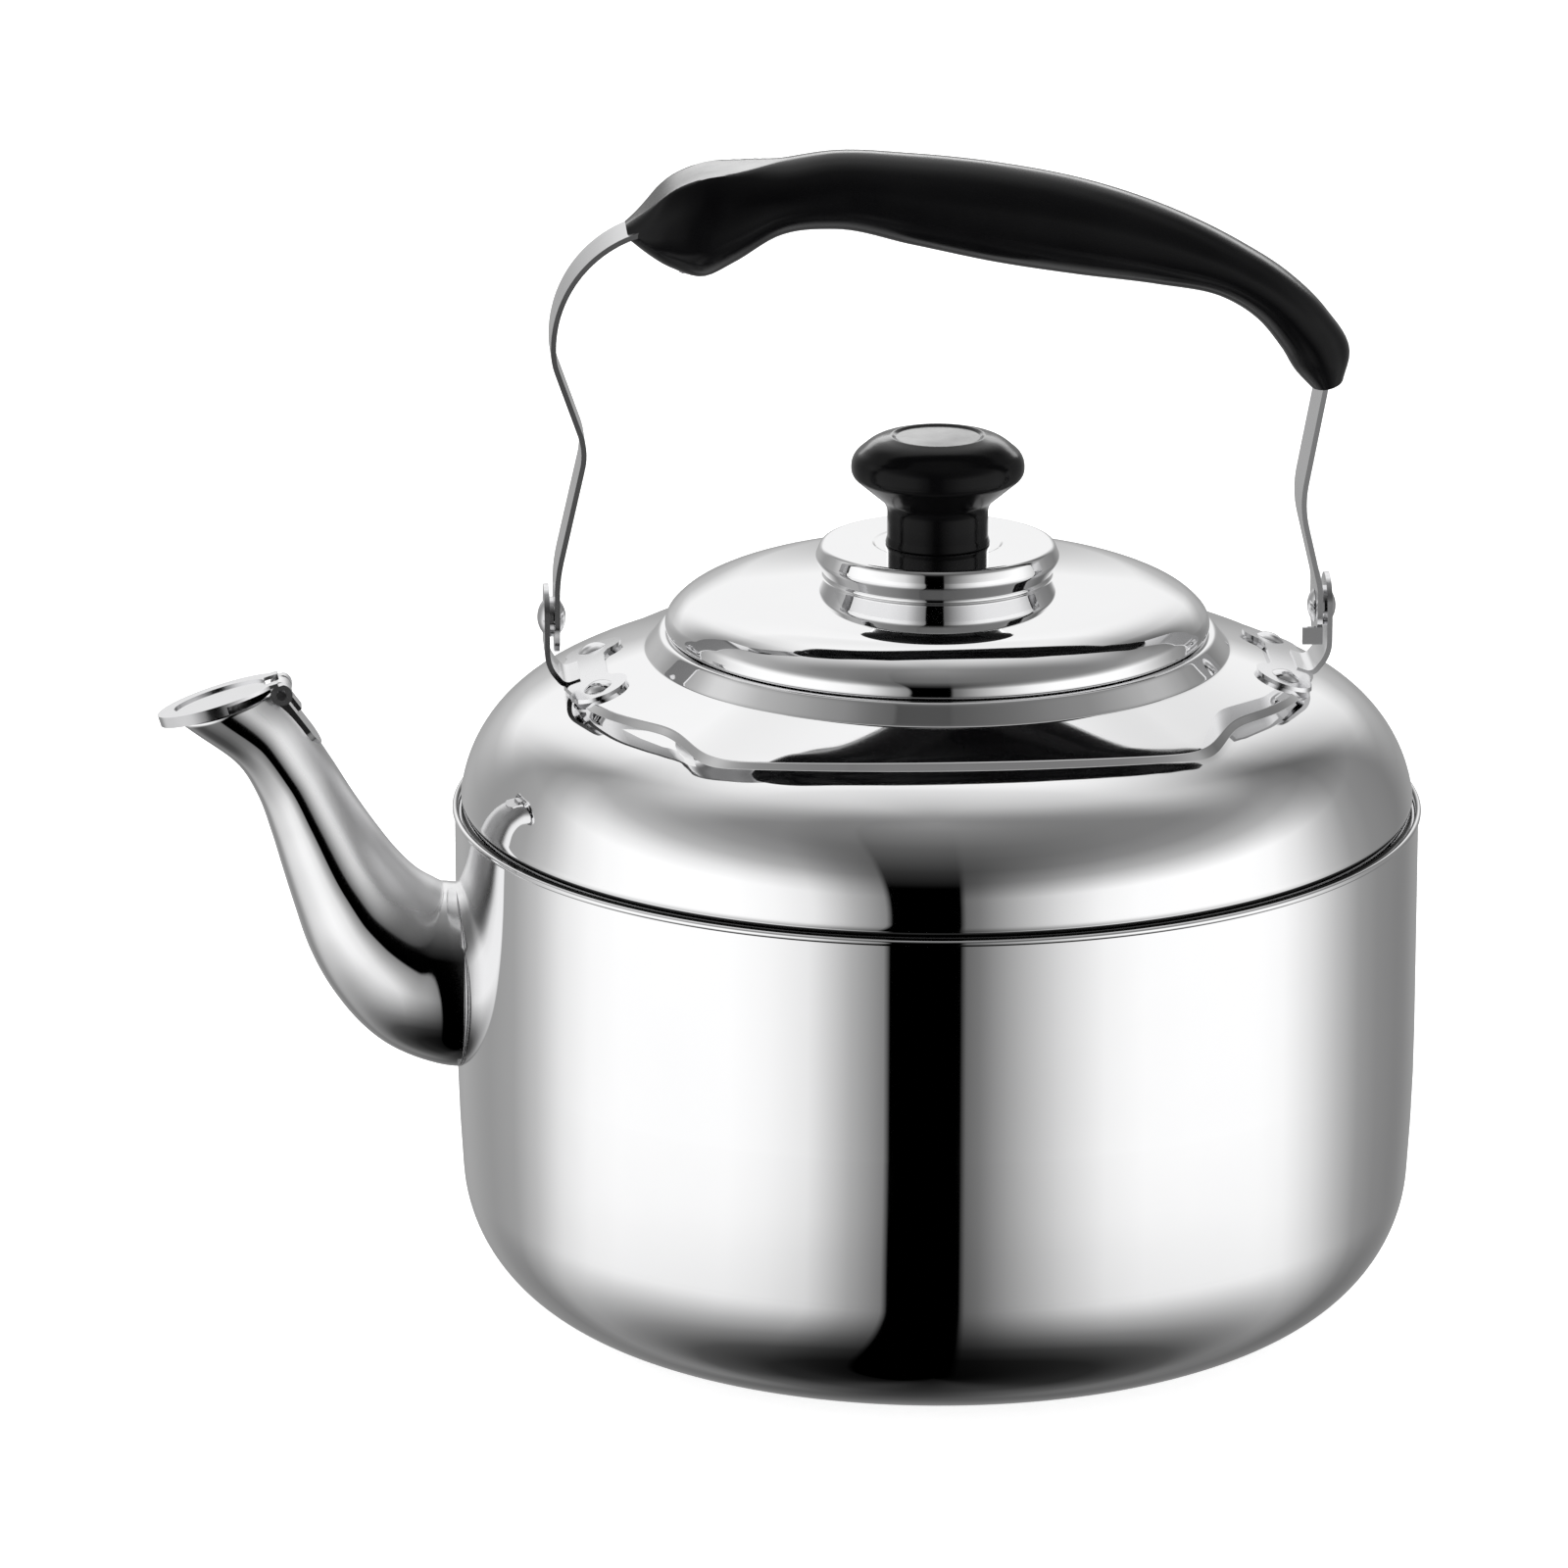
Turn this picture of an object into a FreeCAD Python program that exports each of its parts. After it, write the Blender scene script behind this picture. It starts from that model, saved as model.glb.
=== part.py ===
import FreeCAD, Part
import math
import os

# Stovetop whistling kettle, millimetres.
# +Z is up. The origin is on the axis of the pot, in the plane that the base rests on.
# The spout points along -X and the bail handle stands in the XZ plane.

V = FreeCAD.Vector
Z_AXIS = V(0, 0, 1)

# Sheet metal
SHEET = 0.8
STRAP_THICKNESS = 1.2
STRAP_WIDTH = 16.0

# Pot: wall that draws in slightly below its middle, then a wide round into the flat base
POT_RADIUS = 110.5
POT_TAPER_Z = 50.0
POT_BASE_CORNER = 107.0
POT_ROUNDS = (60.0, 34.0)
STEAM_HOLE_RADIUS = 17.0

# Seam between pot and shoulder: the pot's edge is rolled to a fine bead
SEAM_Z = 119.1
RIM_BEAD_RADIUS = 0.7
RIM_BEAD_Z = SEAM_Z - 1.3
POT_TOP_Z = SEAM_Z - 0.6

# Shoulder: skirt inside the pot, then two arcs up to a shallow cone
SKIRT_RADIUS = POT_RADIUS - SHEET
SKIRT_BOTTOM_Z = 113.5
DOME_POINTS = ((SKIRT_RADIUS, SKIRT_BOTTOM_Z), (SKIRT_RADIUS, 116.9), (108.0, 118.2), (109.15, 121.0),
               (106.1, 136.7), (87.4, 147.2), (55.0, 155.1))
DOME_ROUNDS = (0.0, 0.4, 5.0, 30.0, 58.0)

# Neck collar
COLLAR_FOOT = (66.8, 154.7)
COLLAR_FLOOR_Z = 150.0
COLLAR_TOP_RADIUS = 64.2
COLLAR_TOP_Z = 159.3
COLLAR_EDGE_ROUND = 1.4
NECK_RADIUS = 59.4
NECK_BOTTOM_Z = 153.0

# Raised lobed plateau round the collar, with a bevelled wall
PLATEAU_SLOPE = 0.35
PLATEAU_CORE_RADIUS = 72.0
LOBE_SIDE = (18.0, 67.2)
LOBE_FRONT = (-43.0, 124.3)
LOBE_NOTCH = (62.6, 52.5)
LOBE_CORNER = (57.4, 66.0)
LOBE_Z = 147.3
LOBE_INSET_PER_MM = 1.43
LOBE_BOTTOM_Z = 145.3
LOBE_TOP_Z = 153.3

# Spout: centre x, centre z, diameter, slope of the centre line in degrees
SPOUT_STATIONS = ((-103.0, 78.5, 41.0, 0.0), (-113.5, 79.0, 40.5, 5.0), (-120.0, 81.5, 38.0, 20.0),
                  (-127.4, 88.6, 33.0, 42.0), (-131.6, 94.6, 29.2, 55.0), (-135.4, 101.6, 25.4, 62.0),
                  (-139.2, 109.4, 22.2, 65.0), (-143.0, 117.7, 19.3, 65.5), (-147.2, 126.6, 17.2, 63.0),
                  (-153.0, 135.6, 16.8, 56.0))
MOUTH_CENTRE = (-13.1, 0.2)
MOUTH_HALF = (10.5, 7.9)

# Spout cap, laid out flat about its hinge pin and then tilted
CAP_PIN = (-149.8, 147.2)
CAP_TILT = 17.3
CAP_HALF = (14.8, 9.4)
CAP_CENTRE_X = -13.9
CAP_TOP_Z = 3.0
CAP_RIM_DEPTH = 2.6
CAP_RIM_END_X = CAP_CENTRE_X + 1.5
CAP_RECESS_HALF = (10.8, 6.2)
CAP_RECESS_DEPTH = 0.5
CAP_NECK_LENGTH = 4.0
PIN_RADIUS = 1.1
PIN_PLAY = 0.06
PIN_OVERHANG = 0.4
KNUCKLE_RADIUS = 2.3
CAP_KNUCKLE_RADIUS = 2.5
KNUCKLE_HALF = 2.5
KNUCKLE_GAP = 0.3
CAP_KNUCKLE_END = 5.6
WHISTLE_RADIUS = 4.5
WHISTLE_X = -12.0
WHISTLE_BOTTOM_Z = -2.4
WHISTLE_SHEET = 0.5
WHISTLE_HOLE_RADIUS = 1.2
WHISTLE_VENT = (0.7, 0.7)
WHISTLE_PLATE_Z = -0.9

# Tongue of the hinge bracket on the back of the spout
TONGUE_TOP = (-149.3, 145.1)
TONGUE_SLOPE = 54.0
TONGUE_LENGTH = 13.5
TONGUE_HALF_WIDTH = 4.3
TONGUE_DEPTH = 2.4
TONGUE_RISE = 0.8
BRACKET_NECK = (6.0, 1.4)

# Ears: a plate on the plateau that turns up into a tab for the bail
PIVOT_Z = 163.3
STRAP_X = 87.0
WASHER_THICKNESS = 1.1
EAR_THICKNESS = 1.2
TAB_INNER_X = STRAP_X + STRAP_THICKNESS / 2 + WASHER_THICKNESS
TAB_OUTER_X = TAB_INNER_X + EAR_THICKNESS
TAB_RADIUS = 7.6
TAB_ELBOW_X = 85.6
TAB_STRAIGHT_Z = 153.4
TAB_ROUNDS = (3.0, 9.0)
EAR_PLATE_THICKNESS = 1.0
EAR_INNER_X = 73.0
EAR_WAIST = (76.0, 8.0)
EAR_OUTER_X = 83.0
EAR_LOBE_MARGIN = 3.0
EAR_RIVET = (78.0, 16.3)
EAR_RIVET_SHANK = 1.6
EAR_RIVET_HEAD = 3.3
EAR_RIVET_RISE = 1.3
EAR_RIVET_TAIL = (2.6, 0.8)
RIVET_SEAT_PLAY = 0.02
RIVET_TAIL_PLAY = 0.25

# Bail pivots
PIVOT_SHANK = 2.4
PIVOT_PLAY = 0.07
PIVOT_HEAD = 3.9
PIVOT_RISE = 1.5
FACE_PLAY = 0.08
WASHER_RADIUS = 4.6
STRAP_END_RADIUS = 8.0

# Centre lines of the two legs of the bail, from the pivot into the grip
FRONT_LEG = ((-STRAP_X, PIVOT_Z), (-STRAP_X, 174.0), (-80.2, 203.8), (-87.5, 224.5),
             (-87.5, 247.9), (-41.0, 262.1))
FRONT_LEG_ROUNDS = (40.0, 14.0, 14.0, 27.5)
REAR_LEG = ((STRAP_X, PIVOT_Z), (STRAP_X, 169.0), (82.4, 188.6), (87.9, 218.5),
            (82.0, 231.9), (70.0, 240.8))
REAR_LEG_ROUNDS = (14.0, 26.0, 12.0, 16.0)
STOP_TAB = (3.4, 1.2, 4.0)
STOP_TAB_DROP = 7.2
STOP_TAB_ROOT = 5.0

# Grip: upper point, lower point and half width of each cross-section
GRIP_SECTIONS = (
    ((-70.9, 255.0), (-70.3, 251.6), 5.5),
    ((-67.0, 258.2), (-66.6, 248.6), 9.6),
    ((-59.9, 264.2), (-60.2, 244.6), 12.4),
    ((-53.0, 266.8), (-53.6, 242.7), 13.4),
    ((-45.5, 267.7), (-46.5, 245.9), 13.3),
    ((-36.0, 269.0), (-36.5, 251.9), 12.6),
    ((-24.0, 270.7), (-24.0, 253.3), 12.6),
    ((-6.0, 269.8), (-6.5, 249.5), 13.4),
    ((14.0, 267.4), (12.5, 245.2), 13.8),
    ((34.0, 263.2), (31.0, 242.1), 13.4),
    ((53.0, 256.5), (49.0, 239.6), 12.4),
    ((68.6, 248.6), (63.6, 236.6), 11.4),
    ((79.8, 241.2), (72.2, 231.2), 10.8),
    ((88.4, 232.6), (78.0, 224.1), 10.4),
    ((93.6, 223.4), (81.4, 218.6), 10.2),
    ((92.2, 217.2), (84.6, 215.2), 8.8),
)
FRONT_SCREW = ((-56.0, 243.5), (0.0, 1.0), 18.0)
REAR_SCREW = ((92.4, 220.6), (-1.0, 0.12), 8.0)
GRIP_SCREW_RADIUS = 1.6
GRIP_SCREW_HEAD = 2.8
GRIP_SCREW_HEAD_HEIGHT = 1.6
SCREW_WELL_DEPTH = 6.0

# Lid: flat pedestal for the knob, shallow dome and curled rim
LID_TOP_Z = 179.6
PEDESTAL_RADIUS = 28.0
LID_RADIUS = 62.2
LID_EDGE_Z = COLLAR_TOP_Z + 0.1
LID_POINTS = ((0.0, LID_TOP_Z), (26.6, LID_TOP_Z), (PEDESTAL_RADIUS, 176.2), (25.6, 171.9),
              (51.5, 169.4), (59.0, 165.6), (LID_RADIUS, 162.2), (LID_RADIUS, LID_EDGE_Z),
              (60.5, LID_EDGE_Z))
LID_ROUNDS = (1.6, 2.0, 0.6, 30.0, 14.0, 4.0, 1.1)
LID_RING_RADIUS = 59.0
LID_RING_BOTTOM_Z = 149.0

# Knob
KNOB_POINTS = ((0.0, LID_TOP_Z), (12.0, LID_TOP_Z), (11.5, 181.2), (11.5, 188.6), (19.75, 195.6),
               (19.75, 199.6), (15.0, 203.6), (10.6, 204.7), (9.6, 204.2), (0.0, 204.2))
KNOB_ROUNDS = (0.4, 1.0, 4.0, 3.0, 4.5, 9.0, 1.0, 0.6)
KNOB_SCREW_RADIUS = 2.5
KNOB_SCREW_TOP_Z = 196.0
KNOB_SCREW_HEAD = (4.6, 2.6)
KNOB_WASHER_RADIUS = 7.0
KNOB_WASHER_THICKNESS = 1.0


def unit(vector):
    """The vector at length one."""
    result = V(vector)
    result.normalize()
    return result


def side_of(direction):
    """The unit vector to the right of a direction in the XZ plane."""
    return V(direction.z, 0, -direction.x)


def shifted(points, rounds, distance):
    """A rounded path moved to its own right by a distance: its new points and rounds."""
    points = [V(x, 0, z) for x, z in points]
    ways = [unit(b - a) for a, b in zip(points, points[1:])]
    moved = [points[0] + side_of(ways[0]) * distance]
    new_rounds = []
    for point, before, after, radius in zip(points[1:-1], ways, ways[1:], rounds):
        normal_a = side_of(before)
        normal_b = side_of(after)
        moved.append(point + (normal_a + normal_b) * (distance / (1 + normal_a.dot(normal_b))))
        turns_right = normal_a.dot(after) > 0
        new_rounds.append(max(0.0, radius - distance) if turns_right else radius + distance)
    moved.append(points[-1] + side_of(ways[-1]) * distance)
    return [(p.x, p.z) for p in moved], new_rounds


def path_edges(points, rounds):
    """Edges along a path in the XZ plane, with each inner corner rounded by its radius."""
    points = [V(x, 0, z) for x, z in points]
    edges = []
    last = points[0]
    for before, point, after, radius in zip(points, points[1:], points[2:], rounds):
        way_in = unit(point - before)
        way_out = unit(after - point)
        turn = way_in.getAngle(way_out)
        if radius <= 0 or turn < 1e-6:
            edges.append(Part.makeLine(last, point))
            last = point
            continue
        trim = radius * math.tan(turn / 2)
        start = point - way_in * trim
        end = point + way_out * trim
        middle = point + unit(way_out - way_in) * (radius / math.cos(turn / 2) - radius)
        if (start - last).Length > 1e-6:
            edges.append(Part.makeLine(last, start))
        edges.append(Part.Arc(start, middle, end).toShape())
        last = end
    edges.append(Part.makeLine(last, points[-1]))
    return edges


def closed_face(edges):
    """A face from edges that run end to end, closed with a straight line where needed."""
    wire = Part.Wire(Part.__sortEdges__(edges))
    if not wire.isClosed():
        ends = [v.Point for v in wire.OrderedVertexes]
        wire = Part.Wire(wire.Edges + [Part.makeLine(ends[-1], ends[0])])
    return Part.Face(wire)


def band(points, rounds, thickness):
    """The flat face between a path and the same path moved to its right by the thickness."""
    inner_points, inner_rounds = shifted(points, rounds, thickness)
    outer = path_edges(points, rounds)
    inner = path_edges(inner_points, inner_rounds)
    starts = [V(p[0], 0, p[1]) for p in (points[0], inner_points[0])]
    ends = [V(p[0], 0, p[1]) for p in (points[-1], inner_points[-1])]
    return closed_face(outer + inner + [Part.makeLine(*starts), Part.makeLine(*ends)])


def turned(face):
    """The solid of revolution of a face in the XZ plane about the Z axis."""
    return face.revolve(V(0, 0, 0), Z_AXIS, 360)


def block_under(points, rounds, floor_z):
    """A turned solid of all that lies inside a path and above a floor."""
    edges = path_edges(points, rounds)
    first = V(points[0][0], 0, points[0][1])
    last = V(points[-1][0], 0, points[-1][1])
    corners = [last, V(0, 0, last.z), V(0, 0, floor_z), V(first.x, 0, floor_z), first]
    for a, b in zip(corners, corners[1:]):
        if (a - b).Length > 1e-6:
            edges.append(Part.makeLine(a, b))
    return turned(closed_face(edges))


def tube(radius, bore, start, axis, length):
    """A straight tube."""
    outer = Part.makeCylinder(radius, length, start, axis)
    return outer.cut(Part.makeCylinder(bore, length, start, axis))


def domed_head(radius, rise, centre, axis):
    """A low round rivet head: a slice of a ball that stands on a plane."""
    ball_radius = (radius * radius + rise * rise) / (2 * rise)
    ball = Part.makeSphere(ball_radius, centre + axis * (rise - ball_radius))
    return ball.common(Part.makeCylinder(radius, rise, centre, axis))


def plateau_z(radius):
    """Height of the plateau's cone at a radius."""
    return COLLAR_FOOT[1] - PLATEAU_SLOPE * (radius - COLLAR_FOOT[0])


def on_circle(point, direction, centre, radius):
    """Where a line in the XY plane meets a circle, nearest to the given point."""
    offset = point - centre
    along = offset.dot(direction)
    gap = math.sqrt(along * along - offset.dot(offset) + radius * radius)
    steps = (-along - gap, -along + gap)
    return point + direction * min(steps, key=abs)


def lobe_wire(inset, z):
    """The lobed outline of the plateau, moved inwards by an inset."""
    side_centre = V(LOBE_SIDE[0], 0, 0)
    front_centre = V(0, LOBE_FRONT[0], 0)
    notch = V(*LOBE_NOTCH, 0)
    corner = V(*LOBE_CORNER, 0)
    way = unit(corner - notch)
    inward = V(-way.y, way.x, 0)
    notch = on_circle(notch + inward * inset, way, side_centre, LOBE_SIDE[1] - inset)
    corner = on_circle(corner + inward * inset, way, front_centre, LOBE_FRONT[1] - inset)
    side = V(LOBE_SIDE[0] + LOBE_SIDE[1] - inset, 0, z)
    front = V(0, LOBE_FRONT[0] + LOBE_FRONT[1] - inset, z)
    edges = []
    for turn in (1, -1):
        points = [V(turn * p.x, turn * p.y, z) for p in (notch, corner)]
        mirrored = [V(-turn * p.x, turn * p.y, z) for p in (corner, notch)]
        low = V(turn * notch.x, -turn * notch.y, z)
        edges.append(Part.Arc(low, V(turn * side.x, 0, z), points[0]).toShape())
        edges.append(Part.makeLine(points[0], points[1]))
        edges.append(Part.Arc(points[1], V(0, turn * front.y, z), mirrored[0]).toShape())
        edges.append(Part.makeLine(mirrored[0], mirrored[1]))
    return Part.Wire(edges)


def plateau_block(shrink):
    """All that lies under the plateau's top and inside its bevelled wall."""
    wires = []
    for z in (LOBE_BOTTOM_Z, LOBE_TOP_Z):
        wires.append(lobe_wire((z - LOBE_Z) * LOBE_INSET_PER_MM + shrink, z))
    frustum = Part.makeLoft(wires, True, True)
    frustum = frustum.fuse(Part.makeCylinder(PLATEAU_CORE_RADIUS - shrink, 20, V(0, 0, LOBE_BOTTOM_Z)))
    wide, narrow = 92.0, 56.0
    slope = ((wide, plateau_z(wide) - shrink), (narrow, plateau_z(narrow) - shrink))
    return frustum.common(block_under(slope, (), LOBE_BOTTOM_Z - 10))


def collar_block(shrink):
    """All that lies inside the neck collar's outer wall."""
    lean = (COLLAR_FOOT[0] - COLLAR_TOP_RADIUS) / (COLLAR_TOP_Z - COLLAR_FOOT[1])
    floor_radius = COLLAR_FOOT[0] + lean * (COLLAR_FOOT[1] - COLLAR_FLOOR_Z) - shrink
    points = ((floor_radius, COLLAR_FLOOR_Z), (COLLAR_TOP_RADIUS - shrink, COLLAR_TOP_Z - shrink),
              (NECK_RADIUS - 10, COLLAR_TOP_Z - shrink))
    return block_under(points, (COLLAR_EDGE_ROUND - shrink / 2,), COLLAR_FLOOR_Z)


def shoulder_block(shrink):
    """The shoulder as one full block, taken in by a shrink."""
    points, rounds = shifted(DOME_POINTS, DOME_ROUNDS, -shrink)
    dome = block_under(points, rounds, SKIRT_BOTTOM_Z)
    return dome.fuse(plateau_block(shrink)).fuse(collar_block(shrink))


def make_pot():
    """Deep drawn pot with a rolled bead at its rim and a steam hole behind the spout."""
    points = ((POT_RADIUS, POT_TOP_Z), (POT_RADIUS, POT_TAPER_Z), (POT_BASE_CORNER, 0), (0, 0))
    shell = turned(band(points, POT_ROUNDS, SHEET))
    bead = Part.makeTorus(POT_RADIUS - 0.1, RIM_BEAD_RADIUS, V(0, 0, RIM_BEAD_Z), Z_AXIS)
    bore = Part.makeCylinder(SKIRT_RADIUS, SEAM_Z, V(0, 0, POT_TAPER_Z))
    hole_x, hole_z = SPOUT_STATIONS[0][:2]
    hole = Part.makeCylinder(STEAM_HOLE_RADIUS, 40, V(hole_x - 25, 0, hole_z), V(1, 0, 0))
    return shell.fuse(bead.cut(bore)).cut(hole)


def make_shoulder():
    """Domed shoulder sheet with the lobed plateau and the neck collar."""
    height = COLLAR_TOP_Z - NECK_BOTTOM_Z
    neck_wall = tube(NECK_RADIUS + SHEET, NECK_RADIUS, V(0, 0, NECK_BOTTOM_Z), Z_AXIS, height)
    hollow = shoulder_block(SHEET).cut(neck_wall)
    sheet = shoulder_block(0).cut(hollow)
    sheet = sheet.cut(Part.makeCylinder(NECK_RADIUS, 60, V(0, 0, SKIRT_BOTTOM_Z)))
    for side in (-1, 1):
        for start, axis in ear_rivet_places(side):
            sheet = sheet.cut(Part.makeCylinder(EAR_RIVET_SHANK, 8, start - axis * 4, axis))
    return sheet


def cap_to_world(shape):
    """Tilt a shape that was laid out about the cap's pin, and move it to the pin."""
    shape.rotate(V(0, 0, 0), V(0, 1, 0), -CAP_TILT)
    shape.translate(V(CAP_PIN[0], 0, CAP_PIN[1]))
    return shape


def spout_block(shrink, reach):
    """The spout as a full lofted block, taken in by a shrink and run past its mouth by a reach."""
    wires = []
    for x, z, diameter, slope in SPOUT_STATIONS:
        way = V(-math.cos(math.radians(slope)), 0, math.sin(math.radians(slope)))
        radius = diameter / 2 - shrink
        wires.append(ring_wire(V(x, 0, z), way, radius, radius - 0.01))
    tilt = math.radians(CAP_TILT)
    forward = V(-math.cos(tilt), 0, -math.sin(tilt))
    up = V(-math.sin(tilt), 0, math.cos(tilt))
    centre = V(CAP_PIN[0], 0, CAP_PIN[1]) - forward * MOUTH_CENTRE[0] + up * (MOUTH_CENTRE[1] + reach)
    half_long, half_wide = MOUTH_HALF
    wires.append(ring_wire(centre, up, half_long - shrink, half_wide - shrink))
    return Part.makeLoft(wires, True, False)


def ring_wire(centre, way, half_tall, half_wide):
    """An oval of four quarter arcs, square to a direction in the XZ plane. half_wide is along Y."""
    across = V(0, 1, 0)
    tall = unit(across.cross(way))
    if half_tall > half_wide:
        curve = Part.Ellipse(centre + tall * half_tall, centre + across * half_wide, centre)
        quarter_shift = 0
    else:
        curve = Part.Ellipse(centre + across * half_wide, centre - tall * half_tall, centre)
        quarter_shift = 3
    quarter = math.pi / 2
    arcs = []
    for i in range(4):
        start = (i + quarter_shift) * quarter
        arcs.append(Part.Arc(curve, start, start + quarter).toShape())
    return Part.Wire(arcs)


def make_spout():
    """Tapering swan-neck spout, open at both ends and fitted to the pot wall."""
    sheet = spout_block(0, 0).cut(spout_block(SHEET, 0.01))
    return sheet.cut(Part.makeCylinder(POT_RADIUS, SEAM_Z + 20))


def along_tongue(shape, start):
    """Turn a shape laid out along X so that it runs down the tongue from a point in the XZ plane."""
    shape.rotate(V(0, 0, 0), V(0, 1, 0), TONGUE_SLOPE)
    shape.translate(start)
    return shape


def make_hinge_bracket():
    """Tongue welded to the back of the spout, with the middle knuckle of the cap hinge."""
    half = TONGUE_HALF_WIDTH
    thick = TONGUE_DEPTH + TONGUE_RISE
    plate = Part.makeBox(TONGUE_LENGTH - half, 2 * half, thick, V(0, -half, -TONGUE_DEPTH))
    plate = plate.fuse(Part.makeCylinder(half, thick, V(TONGUE_LENGTH - half, 0, -TONGUE_DEPTH)))
    plate = along_tongue(plate, V(TONGUE_TOP[0], 0, TONGUE_TOP[1]))
    pin = V(CAP_PIN[0], 0, CAP_PIN[1])
    knuckle = Part.makeCylinder(KNUCKLE_RADIUS, 2 * KNUCKLE_HALF, pin - V(0, KNUCKLE_HALF, 0), V(0, 1, 0))
    clear = Part.makeCylinder(KNUCKLE_RADIUS + KNUCKLE_GAP, 20, pin - V(0, 10, 0), V(0, 1, 0))
    length, height = BRACKET_NECK
    neck = Part.makeBox(length, 2 * KNUCKLE_HALF, height, V(0, -KNUCKLE_HALF, -0.1))
    bracket = plate.cut(clear).fuse(knuckle.fuse(along_tongue(neck, pin)))
    bracket = bracket.cut(spout_block(0, 0))
    bracket = bracket.cut(Part.makeCylinder(PIN_RADIUS, 20, pin - V(0, 10, 0), V(0, 1, 0)))
    return max(bracket.Solids, key=lambda solid: solid.Volume)


def make_cap_pin():
    """Hinge pin of the spout cap."""
    half = CAP_KNUCKLE_END + PIN_OVERHANG
    return Part.makeCylinder(PIN_RADIUS, 2 * half, V(CAP_PIN[0], -half, CAP_PIN[1]), V(0, 1, 0))


def cap_block(half, grow, low_z, height):
    """Upright oval block centred on the cap, its half sizes grown by a distance."""
    outline = Part.Ellipse(V(CAP_CENTRE_X, 0, low_z), half[0] + grow, half[1] + grow)
    return Part.Face(Part.Wire(outline.toShape())).extrude(V(0, 0, height))


def make_spout_cap():
    """Oval pressed cap with a turned-down front rim, a stepped recess and two hinge knuckles."""
    recess_z = CAP_TOP_Z - CAP_RECESS_DEPTH
    plate = cap_block(CAP_HALF, 0, CAP_TOP_Z - CAP_RIM_DEPTH, CAP_RIM_DEPTH)
    plate = plate.cut(cap_block(CAP_HALF, -SHEET, CAP_TOP_Z - CAP_RIM_DEPTH, CAP_RIM_DEPTH - SHEET))
    recess = cap_block(CAP_RECESS_HALF, 0, recess_z, CAP_RECESS_DEPTH)
    press = cap_block(CAP_RECESS_HALF, SHEET, recess_z - SHEET, CAP_RECESS_DEPTH)
    shape = plate.fuse(press).cut(recess)
    back_corner = V(CAP_RIM_END_X, -2 * CAP_HALF[0], CAP_TOP_Z - SHEET - CAP_RIM_DEPTH)
    open_back = Part.makeBox(2 * CAP_HALF[0], 4 * CAP_HALF[0], CAP_RIM_DEPTH, back_corner)
    shape = shape.cut(open_back.cut(cap_block(CAP_RECESS_HALF, SHEET, -10, 20)))
    for side in (-1, 1):
        start_y = side * (KNUCKLE_HALF + KNUCKLE_GAP)
        width = CAP_KNUCKLE_END - KNUCKLE_HALF - KNUCKLE_GAP
        low_y = min(start_y, start_y + side * width)
        knuckle = Part.makeCylinder(CAP_KNUCKLE_RADIUS, width, V(0, low_y, 0), V(0, 1, 0))
        neck = Part.makeBox(CAP_NECK_LENGTH, width, SHEET, V(-CAP_NECK_LENGTH, low_y, CAP_TOP_Z - SHEET))
        shape = shape.fuse(knuckle.fuse(neck))
    notch_half = KNUCKLE_HALF + KNUCKLE_GAP
    notch_start = V(-KNUCKLE_RADIUS - 3 * KNUCKLE_GAP, -notch_half, -10)
    shape = shape.cut(Part.makeBox(8, 2 * notch_half, 20, notch_start))
    past_pin = Part.makeBox(8, 40, 4, V(0, -20, CAP_TOP_Z - SHEET))
    shape = shape.cut(past_pin)
    bore = Part.makeCylinder(PIN_RADIUS + PIN_PLAY, 40, V(0, -20, 0), V(0, 1, 0))
    return cap_to_world(shape.cut(bore).removeSplitter())


def make_whistle_cup():
    """Small cup under the cap, with a hole in its floor and two vents in its wall."""
    top = CAP_TOP_Z - SHEET - CAP_RECESS_DEPTH
    floor = V(WHISTLE_X, 0, WHISTLE_BOTTOM_Z)
    cup = Part.makeCylinder(WHISTLE_RADIUS, top - WHISTLE_BOTTOM_Z, floor)
    hollow = Part.makeCylinder(WHISTLE_RADIUS - WHISTLE_SHEET, top, floor + V(0, 0, WHISTLE_SHEET))
    hole = Part.makeCylinder(WHISTLE_HOLE_RADIUS, 4, floor - V(0, 0, 1))
    vent_radius, vent_z = WHISTLE_VENT
    vents = Part.makeCylinder(vent_radius, 20, V(WHISTLE_X, -10, vent_z), V(0, 1, 0))
    return cap_to_world(cup.cut(hollow).cut(hole).cut(vents))


def make_whistle_plate():
    """The second sounding plate, inside the cup."""
    place = V(WHISTLE_X, 0, WHISTLE_PLATE_Z)
    plate = Part.makeCylinder(WHISTLE_RADIUS - WHISTLE_SHEET, WHISTLE_SHEET, place)
    return cap_to_world(plate.cut(Part.makeCylinder(WHISTLE_HOLE_RADIUS, 4, place - V(0, 0, 1))))


def ear_rivet_places(side):
    """Foot point and axis of the two rivets that hold an ear: on the plateau, square to it."""
    lean = math.atan(PLATEAU_SLOPE)
    places = []
    for y in (-EAR_RIVET[1], EAR_RIVET[1]):
        x = side * EAR_RIVET[0]
        radius = math.hypot(x, y)
        axis = V(math.sin(lean) * x / radius, math.sin(lean) * y / radius, math.cos(lean))
        places.append((V(x, y, plateau_z(radius)), axis))
    return places


def pivot_point(side, x):
    """A point on a pivot's axis."""
    return V(side * x, 0, PIVOT_Z)


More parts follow.
